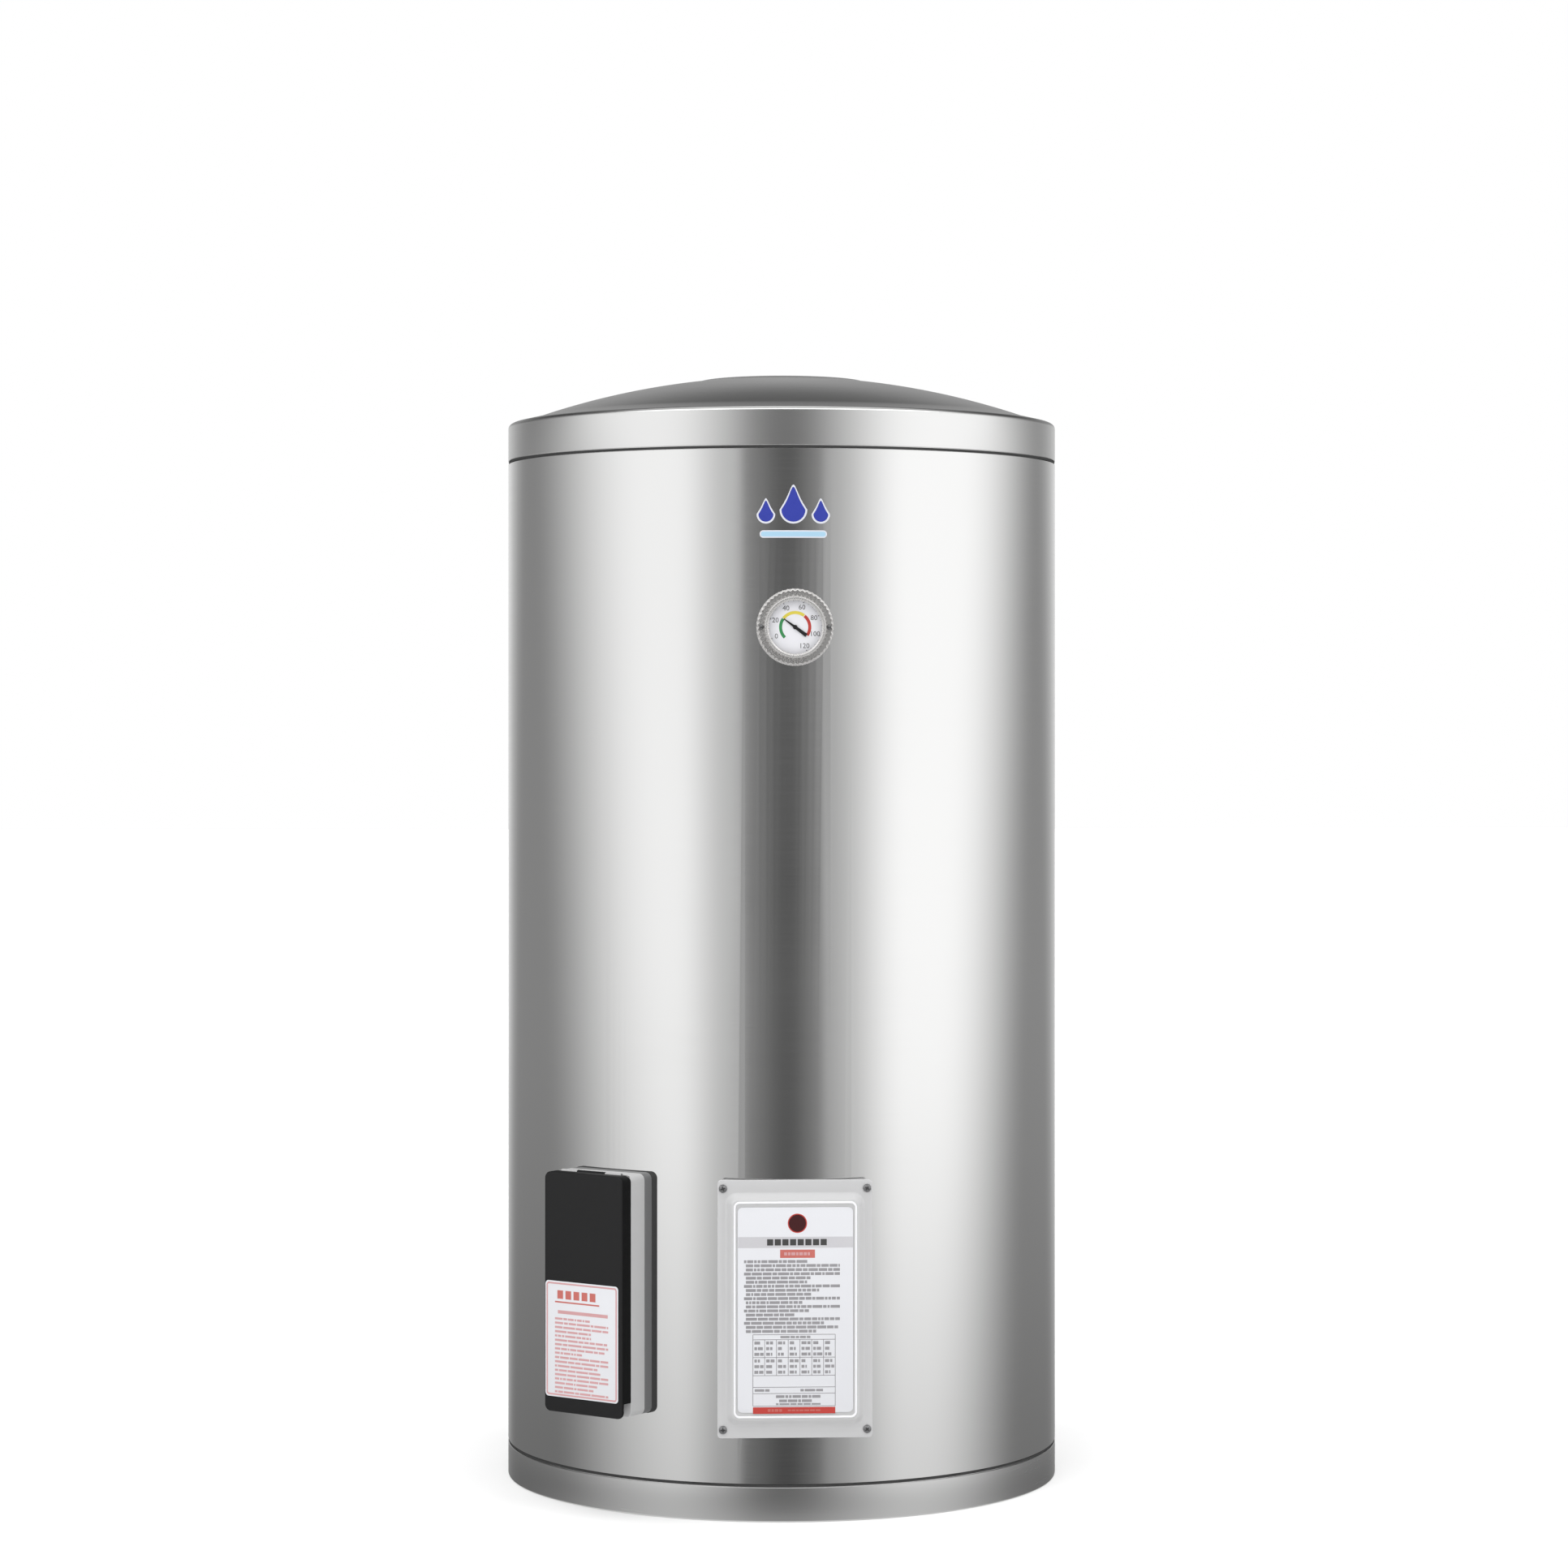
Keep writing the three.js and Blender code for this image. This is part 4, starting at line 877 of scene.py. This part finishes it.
def door_label():
    """The sticker on the door: a thin border, a title and lines of print."""
    place = facing(BOX_Z, BOX_TURN) @ Matrix.Translation((*DOOR_LABEL_SPOT, 0))
    face = DOOR_FACE + 0.6
    levels = [(0, DOOR_FACE + GAP), *rounded_edge(0, face, 0.12, 2)]
    size = (DOOR_LABEL_W, DOOR_LABEL_H, 3)
    sticker = made("sticker", lambda shape: stack(shape, size, levels), place)
    add(sticker, LABEL, "door", "door_label")

    def border(shape):
        margin, width = 1.2, 1.3
        low, high = face - INK_T, face + INK_T
        outer = (DOOR_LABEL_W - 2 * margin, DOOR_LABEL_H - 2 * margin, 2.5)
        stack(shape, outer, [(0, low), (0, high), (width, high), (width, low)], closed=True)

    add(made("sticker_border", border, place), INK_PINK, "door")
    title = [*squares(-24.5, 8.2, 5.8, 5, 32.4, 39.2), (-27, 18, 29.2, 30.4)]
    printed("sticker_title", title, face, place, INK_ROSE, "door")
    row_pitch, rows, first_row, row_h = 3.45, 18, 16.4, 1.7
    lines = [(-24, 26.5, 20.5, 23.2)]
    for i in range(rows):
        end = 27 if i % 4 in (1, 2) else random.uniform(2, 24)
        lines += words(-27, end, first_row - i * row_pitch, row_h, 14.0, 0.8)
    printed("sticker_lines", lines, face, place, INK_PINK, "door")


def on_jacket(shape, points, r0, r1, middle):
    """A flat outline of (x, y), wrapped round the jacket between two radii."""
    flat = bmesh.new()
    prism(flat, [(x + middle[0], y + middle[1]) for x, y in points], r0, r1)
    reach = max(abs(x) for x, _ in points)
    strips = max(2, round(reach))
    for i in range(1, strips):
        x = middle[0] - reach + 2 * reach * i / strips
        parts = flat.verts[:] + flat.edges[:] + flat.faces[:]
        bmesh.ops.bisect_plane(flat, geom=parts, plane_co=(x, 0, 0), plane_no=(1, 0, 0))
    for v in flat.verts:
        a = v.co.x / SHELL_R
        v.co = (v.co.z * math.sin(a), -v.co.z * math.cos(a), v.co.y)
    wrapped = bpy.data.meshes.new("wrapped")
    flat.to_mesh(wrapped)
    flat.free()
    shape.from_mesh(wrapped)
    bpy.data.meshes.remove(wrapped)


def drop_outline(r, height, steps=28):
    """A water drop: a round foot and a point at the top."""
    points = []
    for i in range(steps):
        a = 2 * math.pi * i / steps - math.pi / 2
        upper = max(0.0, math.sin(a))
        x = r * math.cos(a) * (1 - 0.55 * upper)
        points.append((x, r * math.sin(a) + upper ** 3 * (height - 2 * r)))
    return points


def front_mark():
    """A plain printed mark near the top: a large water drop between two small ones, over a bar."""
    foot_z, bar_z, middle_x, pitch = 799.3, 789.5, -1.2, 22
    large, small, rim = (9.6, 28), (6, 17), 1.5
    skin_r, rim_r, ink_r = SHELL_R + 0.02, SHELL_R + 0.06, SHELL_R + 0.12

    def drops(shape, grow, top):
        for i in (-1, 0, 1):
            r, height = small if i else large
            outline = drop_outline(r + grow, height + 2.2 * grow)
            on_jacket(shape, outline, skin_r, top, (middle_x + i * pitch, foot_z + r))

    def bar(shape, size, top):
        on_jacket(shape, rounded_loop(*size, 6), skin_r, top, (middle_x, bar_z))

    add(made("mark_rims", lambda shape: drops(shape, rim, rim_r)), INK_WHITE)
    add(made("mark_drops", lambda shape: drops(shape, 0, ink_r)), INK_BLUE)
    add(made("mark_bar_rim", lambda shape: bar(shape, (54, 6, 2.9), rim_r)), INK_WHITE)
    add(made("mark_bar", lambda shape: bar(shape, (52, 4, 1.9), ink_r)), INK_SKY)


# ---------------------------------------------------------------- thermometer


def gauge_bezel(place):
    """The turned steel bezel, with its screw channel and a milled rim."""
    wall, back, edge_r, milling, teeth = GAUGE_CASE_R + 0.4, SHELL_R - 6, GAUGE_R - 0.2, 0.6, 48
    outline = [
        (wall, back), (edge_r, back), (edge_r, SHELL_R + 0.9),
        (GAUGE_R, SHELL_R + 1.4), (GAUGE_R, CHANNEL + 0.6), (GAUGE_R - 0.6, CHANNEL + 1.4),
        (GAUGE_R - 1.2, CHANNEL + 1.6), (GAUGE_R - 1.7, CHANNEL + 1.2), (GAUGE_R - 2, CHANNEL),
        (wall + 2.3, CHANNEL), (wall + 2.1, CHANNEL + 1.4), (wall + 1.6, CHANNEL + 2),
        *arc(wall - 0.4, GAUGE_FRONT - 1.2, 1.2, 0, 90, 6), (wall - 1.6, GAUGE_FRONT - 0.2),
        (wall - 2.4, GAUGE_FRONT - 0.9), (wall - 2.4, GAUGE_FRONT - 1.6), (wall, GAUGE_FRONT - 1.6),
    ]
    milled = (3, 4, 5, 6, 9, 10, 11)  # outline points on the rim and on the channel's inner wall

    def wave(a, i):
        return -milling * (1 + math.cos(teeth * a)) if i in milled else 0

    bezel = made(
        "bezel", lambda shape: lathe(shape, outline, teeth * 6, closed=True, wave=wave), place, 40,
    )
    holes = [drill(place, 1.8, 200, 260, (side * GAUGE_SCREW_R, 0), 24) for side in (-1, 1)]
    cut(bezel, jacket_former(600, 800), *holes)
    add(bezel, GAUGE_STEEL, node="gauge_bezel")


def sector(shape, r0, r1, start, end):
    """A printed part of a ring on the dial, its angles in degrees."""
    steps = max(2, int(abs(end - start) / 4))
    outline = arc(0, 0, r0, start, end, steps) + arc(0, 0, r1, end, start, steps)
    prism(shape, outline, DIAL_FACE - INK_T, DIAL_FACE + INK_T)


def gauge_dial(place):
    """The white dial with its coloured arcs, marks and numbers."""
    dial_r, hole_r, thick = GAUGE_CASE_R - 1.3, 1.2, 0.8
    outline = [
        (hole_r, DIAL_FACE - thick), (dial_r, DIAL_FACE - thick), (dial_r, DIAL_FACE), (hole_r, DIAL_FACE),
    ]
    dial = made("dial_plate", lambda shape: lathe(shape, outline, FINE, closed=True), place)
    add(dial, GAUGE_WHITE, node="gauge_dial")
    for name, start, end, ink in (
        ("dial_green", 225, 145, INK_GREEN),
        ("dial_yellow", 143, 52, INK_YELLOW),
        ("dial_red", 50, -34, INK_RED),
    ):
        add(made(name, lambda shape: sector(shape, 10.4, 12.9, start, end), place), ink)

    first, last, numbers, parts, number_r = 206, -64, 7, 4, 16.7

    def ticks(shape):
        count = parts * (numbers - 1)
        for i in range(count + 1):
            a = first + (last - first) * i / count
            half, inner = (0.6, 20.7) if i % parts else (1.1, 20.2)
            sector(shape, inner, 21.3, a - half, a + half)

    add(made("dial_ticks", ticks, place), INK_GREY)
    for i in range(numbers):
        a = math.radians(first + (last - first) * i / (numbers - 1))
        spot = (number_r * math.cos(a), number_r * math.sin(a))
        add(number(str(20 * i), spot, place), INK_BLACK)


def gauge_pointer(place):
    """The pointer: a tapered blade on a hub and its spindle."""
    def needle(shape):
        tail, tip = 11.2, 11
        half = [(-tail, 1.5), (-2, 1.2), (tip, 0.35)]
        blade = [(x, -y) for x, y in half] + [(tip + 0.6, 0)] + half[::-1]
        prism(shape, blade, DIAL_FACE + 0.4, DIAL_FACE + 0.9)
        rod(shape, 1.8, DIAL_FACE + 0.35, DIAL_FACE + 1.4, 0.3, 48)
        rod(shape, 0.8, DIAL_FACE - 4, DIAL_FACE + 1, 0, 24)

    turn = Matrix.Rotation(math.radians(POINTER_ANGLE), 4, "Z")
    add(made("needle", needle, place @ turn), POINTER, "pointer", "gauge_pointer")


def gauge_lens(place):
    """The lens, whose front is a shallow dome."""
    back, side_h, rise, edge, steps = 239.7, 1.4, 1.0, GAUGE_CASE_R, 8
    sphere = (edge ** 2 + rise ** 2) / (2 * rise)
    outline = [(0, back), (edge, back)]
    for i in range(steps + 1):
        r = edge * (1 - i / steps)
        outline.append((r, back + side_h + math.sqrt(sphere ** 2 - r ** 2) - (sphere - rise)))
    lens = made("lens", lambda shape: lathe(shape, outline, FINE), place, 50)
    add(lens, LENS, node="gauge_lens")


def gauge():
    """The dial thermometer."""
    place = facing(GAUGE_Z)
    for part in (gauge_bezel, gauge_dial, gauge_pointer, gauge_lens):
        part(place)


def number(text, spot, place):
    """A small printed number on the dial."""
    name = "dial_number_" + text
    curve = bpy.data.curves.new(name, "FONT")
    curve.body = text
    curve.size = 5.6
    curve.align_x = "CENTER"
    curve.align_y = "CENTER"
    curve.extrude = INK_T
    curve.resolution_u = 3
    letter = bpy.data.objects.new(name, curve)
    bpy.context.collection.objects.link(letter)
    graph = bpy.context.evaluated_depsgraph_get()
    mesh = bpy.data.meshes.new_from_object(letter.evaluated_get(graph))
    bpy.data.objects.remove(letter)
    mesh.transform(Matrix.Scale(MM, 4) @ place @ Matrix.Translation((*spot, DIAL_FACE)))
    piece = bpy.data.objects.new(name, mesh)
    bpy.context.collection.objects.link(piece)
    return piece


# ---------------------------------------------------------------- switch box


def hinge_rod(r, x0, x1):
    """A rod along the door's hinge line: a knuckle, or the tool that clears or bores one."""
    place = facing(BOX_Z, BOX_TURN)
    return made("hinge_rod", lambda shape: cross_rod(shape, r, x0, x1, HINGE_Y, HINGE_Z), place)


def box_part(name, levels, grow=0.0, closed=False, steps=CORNER_STEPS):
    """A ring or tray of the switch box's outline, from its levels of (inset, z)."""
    size = (BOX_W + 2 * grow, BOX_H + 2 * grow, BOX_CORNER)
    place = facing(BOX_Z, BOX_TURN)
    return made(name, lambda shape: stack(shape, size, levels, closed, steps), place)


def box_shells():
    """The gasket, the dark base and the silver frame, each a rounded ring or tray."""
    back, width = 213, 7.4
    levels = [(0, back), *rounded_edge(0, GASKET_FACE, 0.4, 3), (width, GASKET_FACE), (width, back)]
    seal = box_part("box_seal", levels, 0.4, closed=True)
    cut(seal, jacket_former(50, 320))
    add(seal, SEAL_AND_GAP_SHADE, node="box_gasket", mirrored=False)

    levels = [(0, GASKET_FACE + GAP), *rounded_edge(0, BASE_FACE, 0.5, 3)]
    levels += [(WALL, BASE_FACE), (WALL, GASKET_FACE + GAP + 2.4)]
    base = box_part("box_tray", levels)
    cut(base, drill(facing(BOX_Z, BOX_TURN), WIRE_HOLE_R, 200, 300, (0, -WIRE_HOLE_DROP)))
    add(base, BOX_GREY, node="box_base", mirrored=False)

    back, inner, lip = BASE_FACE + GAP, FRAME_FACE - WALL, 7
    levels = [(0, back), *rounded_edge(0, FRAME_FACE, 0.6, 3)]
    levels += [(lip, FRAME_FACE), (lip, inner), (WALL, inner), (WALL, back)]
    rim = box_part("box_rim", levels, closed=True)
    space = KNUCKLE_HALF + GAP
    cut(rim, hinge_rod(HINGE_R + HINGE_SPACE, -space, space))
    join(rim, hinge_rod(HINGE_R, -HINGE_HALF, -space), hinge_rod(HINGE_R, space, HINGE_HALF))
    cut(rim, hinge_rod(PIN_HOLE_R, -60, 60))
    add(rim, BOX_SILVER, node="box_frame", mirrored=False)


def box_door():
    """The lift-up door: a tray whose walls stop short at its lower edge, where a finger fits."""
    place = facing(BOX_Z, BOX_TURN)
    back = DOOR_FACE - WALL
    levels = [(WALL, back), (WALL, DOOR_BACK), (0, DOOR_BACK), *rounded_edge(0, DOOR_FACE, 1.2, 4)]
    door = box_part("door_tray", levels, steps=14)
    lip_y = FINGER_GAP - BOX_H / 2
    gap = ((-80, 80), (-200, lip_y), (200, back))
    cut(door, made("finger", lambda shape: block(shape, *gap), place))
    half = BOX_W / 2 - WALL + 1
    wall = ((-half, half), (lip_y, lip_y + 2), (DOOR_BACK, back + 0.5))
    join(door, made("lower_wall", lambda shape: block(shape, *wall), place))
    notch_r, end = HINGE_R + HINGE_SPACE, HINGE_HALF + GAP
    cut(door, hinge_rod(notch_r, -end, -KNUCKLE_HALF), hinge_rod(notch_r, KNUCKLE_HALF, end))
    join(door, hinge_rod(HINGE_R, -KNUCKLE_HALF, KNUCKLE_HALF))
    cut(door, hinge_rod(PIN_HOLE_R, -60, 60))
    add(door, DOOR, "door", "box_door")
    # Faces turned sideways take the darker black, which is painted shade on the door's sides.
    door.data.materials.append(DOOR_SIDE_SHADE)
    outwards = facing(0, BOX_TURN).to_3x3() @ Vector((0, 0, 1))
    for face in door.data.polygons:
        face.material_index = 0 if face.normal.dot(outwards) > 0.5 else 1


# ---------------------------------------------------------------- wall brackets


def brackets():
    """Bent strips behind the jacket, with slotted ears for the wall."""
    half, thick, bend, steps = 25, 3, 3, 40
    leg_x, ear_x, slot_x, slot = 107, 168, 145, (16, 9, 4.4)
    leg_inner = leg_x - thick
    wall = mm("upper_wall_bracket")[1].y
    front, inner = wall - thick, SHELL_R + 0.4

    def round_jacket(r, x):
        side = math.degrees(math.acos(x / r))
        return arc(0, 0, r, side, 180 - side, steps)

    outline = [(ear_x, front), (leg_x + bend, front), (leg_x, front - bend)]
    outline += round_jacket(inner, leg_x)
    outline += [(-leg_x, front - bend), (-leg_x - bend, front), (-ear_x, front)]
    outline += [(-ear_x, wall), (-leg_inner, wall)]
    outline += reversed(round_jacket(inner + thick, leg_inner))
    outline += [(leg_inner, wall), (ear_x, wall)]

    for name in ("lower_wall_bracket", "upper_wall_bracket"):
        middle = height_of(name)
        ends = (middle - half, middle + half)
        strap = made(name + "_strap", lambda shape: prism(shape, outline, *ends))
        for side in (-1, 1):
            spot, levels = (side * slot_x, 0), [(0, 200), (0, 300)]
            cut(strap, made("slot", lambda shape: stack(shape, slot, levels, at=spot), facing(middle, 180)))
        soften(strap, 0.4)
        apply_modifiers(strap)
        add(strap, BRACKET, node=name)


# ---------------------------------------------------------------- studio and camera

# Soft edges round the studio: where each starts and ends, in degrees round from the front, how
# much brighter it gets there, and how far it leans for each degree of height.
STUDIO_EDGES = [
    (-180, -140, -0.66, -1.1),
    (-125, -55, 0.80, 1.4),
    (-46, -24, -0.46, 0),
    (-20, -18, -0.38, 0),
    (-15, -1, -0.12, 0),
    (1, 11, 0.12, 0),
    (13.5, 15.5, 0.26, 0),
    (16, 50, 0.68, 0),
    (72, 128, -0.88, -1.4),
    (134, 180, 0.62, 1.1),
]
STUDIO_START = 0.92  # the brightness straight behind the heater
LEAN_HEIGHTS = (-10, 8)  # degrees above the horizon between which the edges lean


def studio():
    """A white world whose soft edges the steel mirrors, as it would a studio's panels and gaps."""
    world = bpy.data.worlds.new("studio")
    bpy.context.scene.world = world
    world.use_nodes = True
    tree = world.node_tree
    direction = outputs(tree, "SeparateXYZ", {"Vector": outputs(tree, "TexCoord")["Generated"]})
    forwards = maths(tree, "MULTIPLY", direction["Y"], -1.0)
    azimuth = maths(tree, "ARCTAN2", direction["X"], forwards)
    elevation = maths(tree, "ARCSINE", direction["Z"])

    def soft_step(value, *ends):
        return map_range(tree, value, *ends, "SMOOTHSTEP")

    def by_height(start, end, before, after):
        """A soft step between two heights, in degrees above the horizon."""
        return soft_step(elevation, math.radians(start), math.radians(end), before, after)

    def product(a, b):
        return maths(tree, "MULTIPLY", a, b)

    level = STUDIO_START
    lowest, highest = (math.radians(angle) for angle in LEAN_HEIGHTS)
    height = maths(tree, "MAXIMUM", maths(tree, "MINIMUM", elevation, highest), lowest)
    for start, end, change, lean in STUDIO_EDGES:
        leaning = maths(tree, "ADD", azimuth, product(height, lean))
        step = soft_step(leaning, math.radians(start), math.radians(end), 0, change)
        level = maths(tree, "ADD", step, level)

    # Behind the heater the light is dimmer above the horizon, which the dome mirrors.
    dimming = product(soft_step(forwards, -0.4, 0, 1, 0), by_height(4, 11, 0, 0.56))
    level = product(level, maths(tree, "SUBTRACT", 1.0, dimming))
    level = product(product(level, by_height(-15, -3.5, 0.48, 1)), by_height(16, 32, 1, 0.26))

    # Underfoot and overhead it is one plain grey, for the views from above and below.
    plain_part = maths(tree, "ADD", by_height(-40, -13, 1, 0), by_height(48, 68, 0, 1))
    level = product(level, maths(tree, "SUBTRACT", 1.0, plain_part))
    level = maths(tree, "ADD", level, product(plain_part, 0.72))

    # A high soft box in front lights the middle of the cover.
    top_light = product(by_height(24, 32, 0, 1.6), by_height(46, 56, 1, 0))
    top_light = product(top_light, soft_step(forwards, 0, 0.3, 0, 1))

    white = (1, 1, 1, 1)
    total = maths(tree, "ADD", level, top_light)
    lit = outputs(tree, "Background", {"Color": white, "Strength": total})["Background"]
    plain = outputs(tree, "Background", {"Color": white})["Background"]
    seen = outputs(tree, "LightPath")["Is Camera Ray"]
    both = outputs(tree, "MixShader", {"Fac": seen, 1: lit, 2: plain})["Shader"]
    tree.links.new(both, tree.nodes["World Output"].inputs["Surface"])


def soft_lamp(name, strength, spread, tilt):
    """A wide sun that lights paint, print and the floor, but leaves no glare on the steel."""
    light = bpy.data.lights.new(name, "SUN")
    light.energy = strength
    light.angle = math.radians(spread)
    lamp = bpy.data.objects.new(name, light)
    lamp.rotation_euler = [math.radians(angle) for angle in tilt]
    lamp.visible_glossy = False
    bpy.context.collection.objects.link(lamp)


def floor():
    """A plain pale floor, kept out of the steel's reflections."""
    material = look(
        "studio_floor", (0.86, 0.86, 0.86), 0.8, grain=(30, 30, 30), shade=0.004, bump=0.02,
    )
    reach = 20000

    def sheet(shape):
        corners = [(-reach, -reach), (reach, -reach), (reach, reach), (-reach, reach)]
        shape.faces.new([shape.verts.new((x, y, 0)) for x, y in corners])

    plane = made("studio_floor", sheet)
    plane.data.materials.append(material)
    plane.visible_glossy = False


def camera():
    """A long lens, level, a little left of the front."""
    data = bpy.data.cameras.new("camera")
    data.lens = 92.7
    data.sensor_width = 36
    data.shift_x = 0.0015
    data.shift_y = -0.0415
    data.clip_end = 200
    eye = bpy.data.objects.new("camera", data)
    azimuth = math.radians(-2.6)
    distance = 3.458
    eye.location = (distance * math.sin(azimuth), -distance * math.cos(azimuth), 0.6418)
    eye.rotation_euler = (math.radians(90), 0, azimuth)
    bpy.context.collection.objects.link(eye)
    bpy.context.scene.camera = eye


camera()
studio()
soft_lamp("overhead", 2.9, 80, (0, 0, 0))
soft_lamp("front", 0.45, 60, (62, 0, -25))
floor()
bpy.context.scene.view_settings.view_transform = "Standard"

dress_nodes()
jacket()
top_cover()
bottom_band()
seals()
bottom_plate()
pipes()
access_panel()
panel_label()
screws()
front_mark()
gauge()
box_shells()
box_door()
door_label()
brackets()
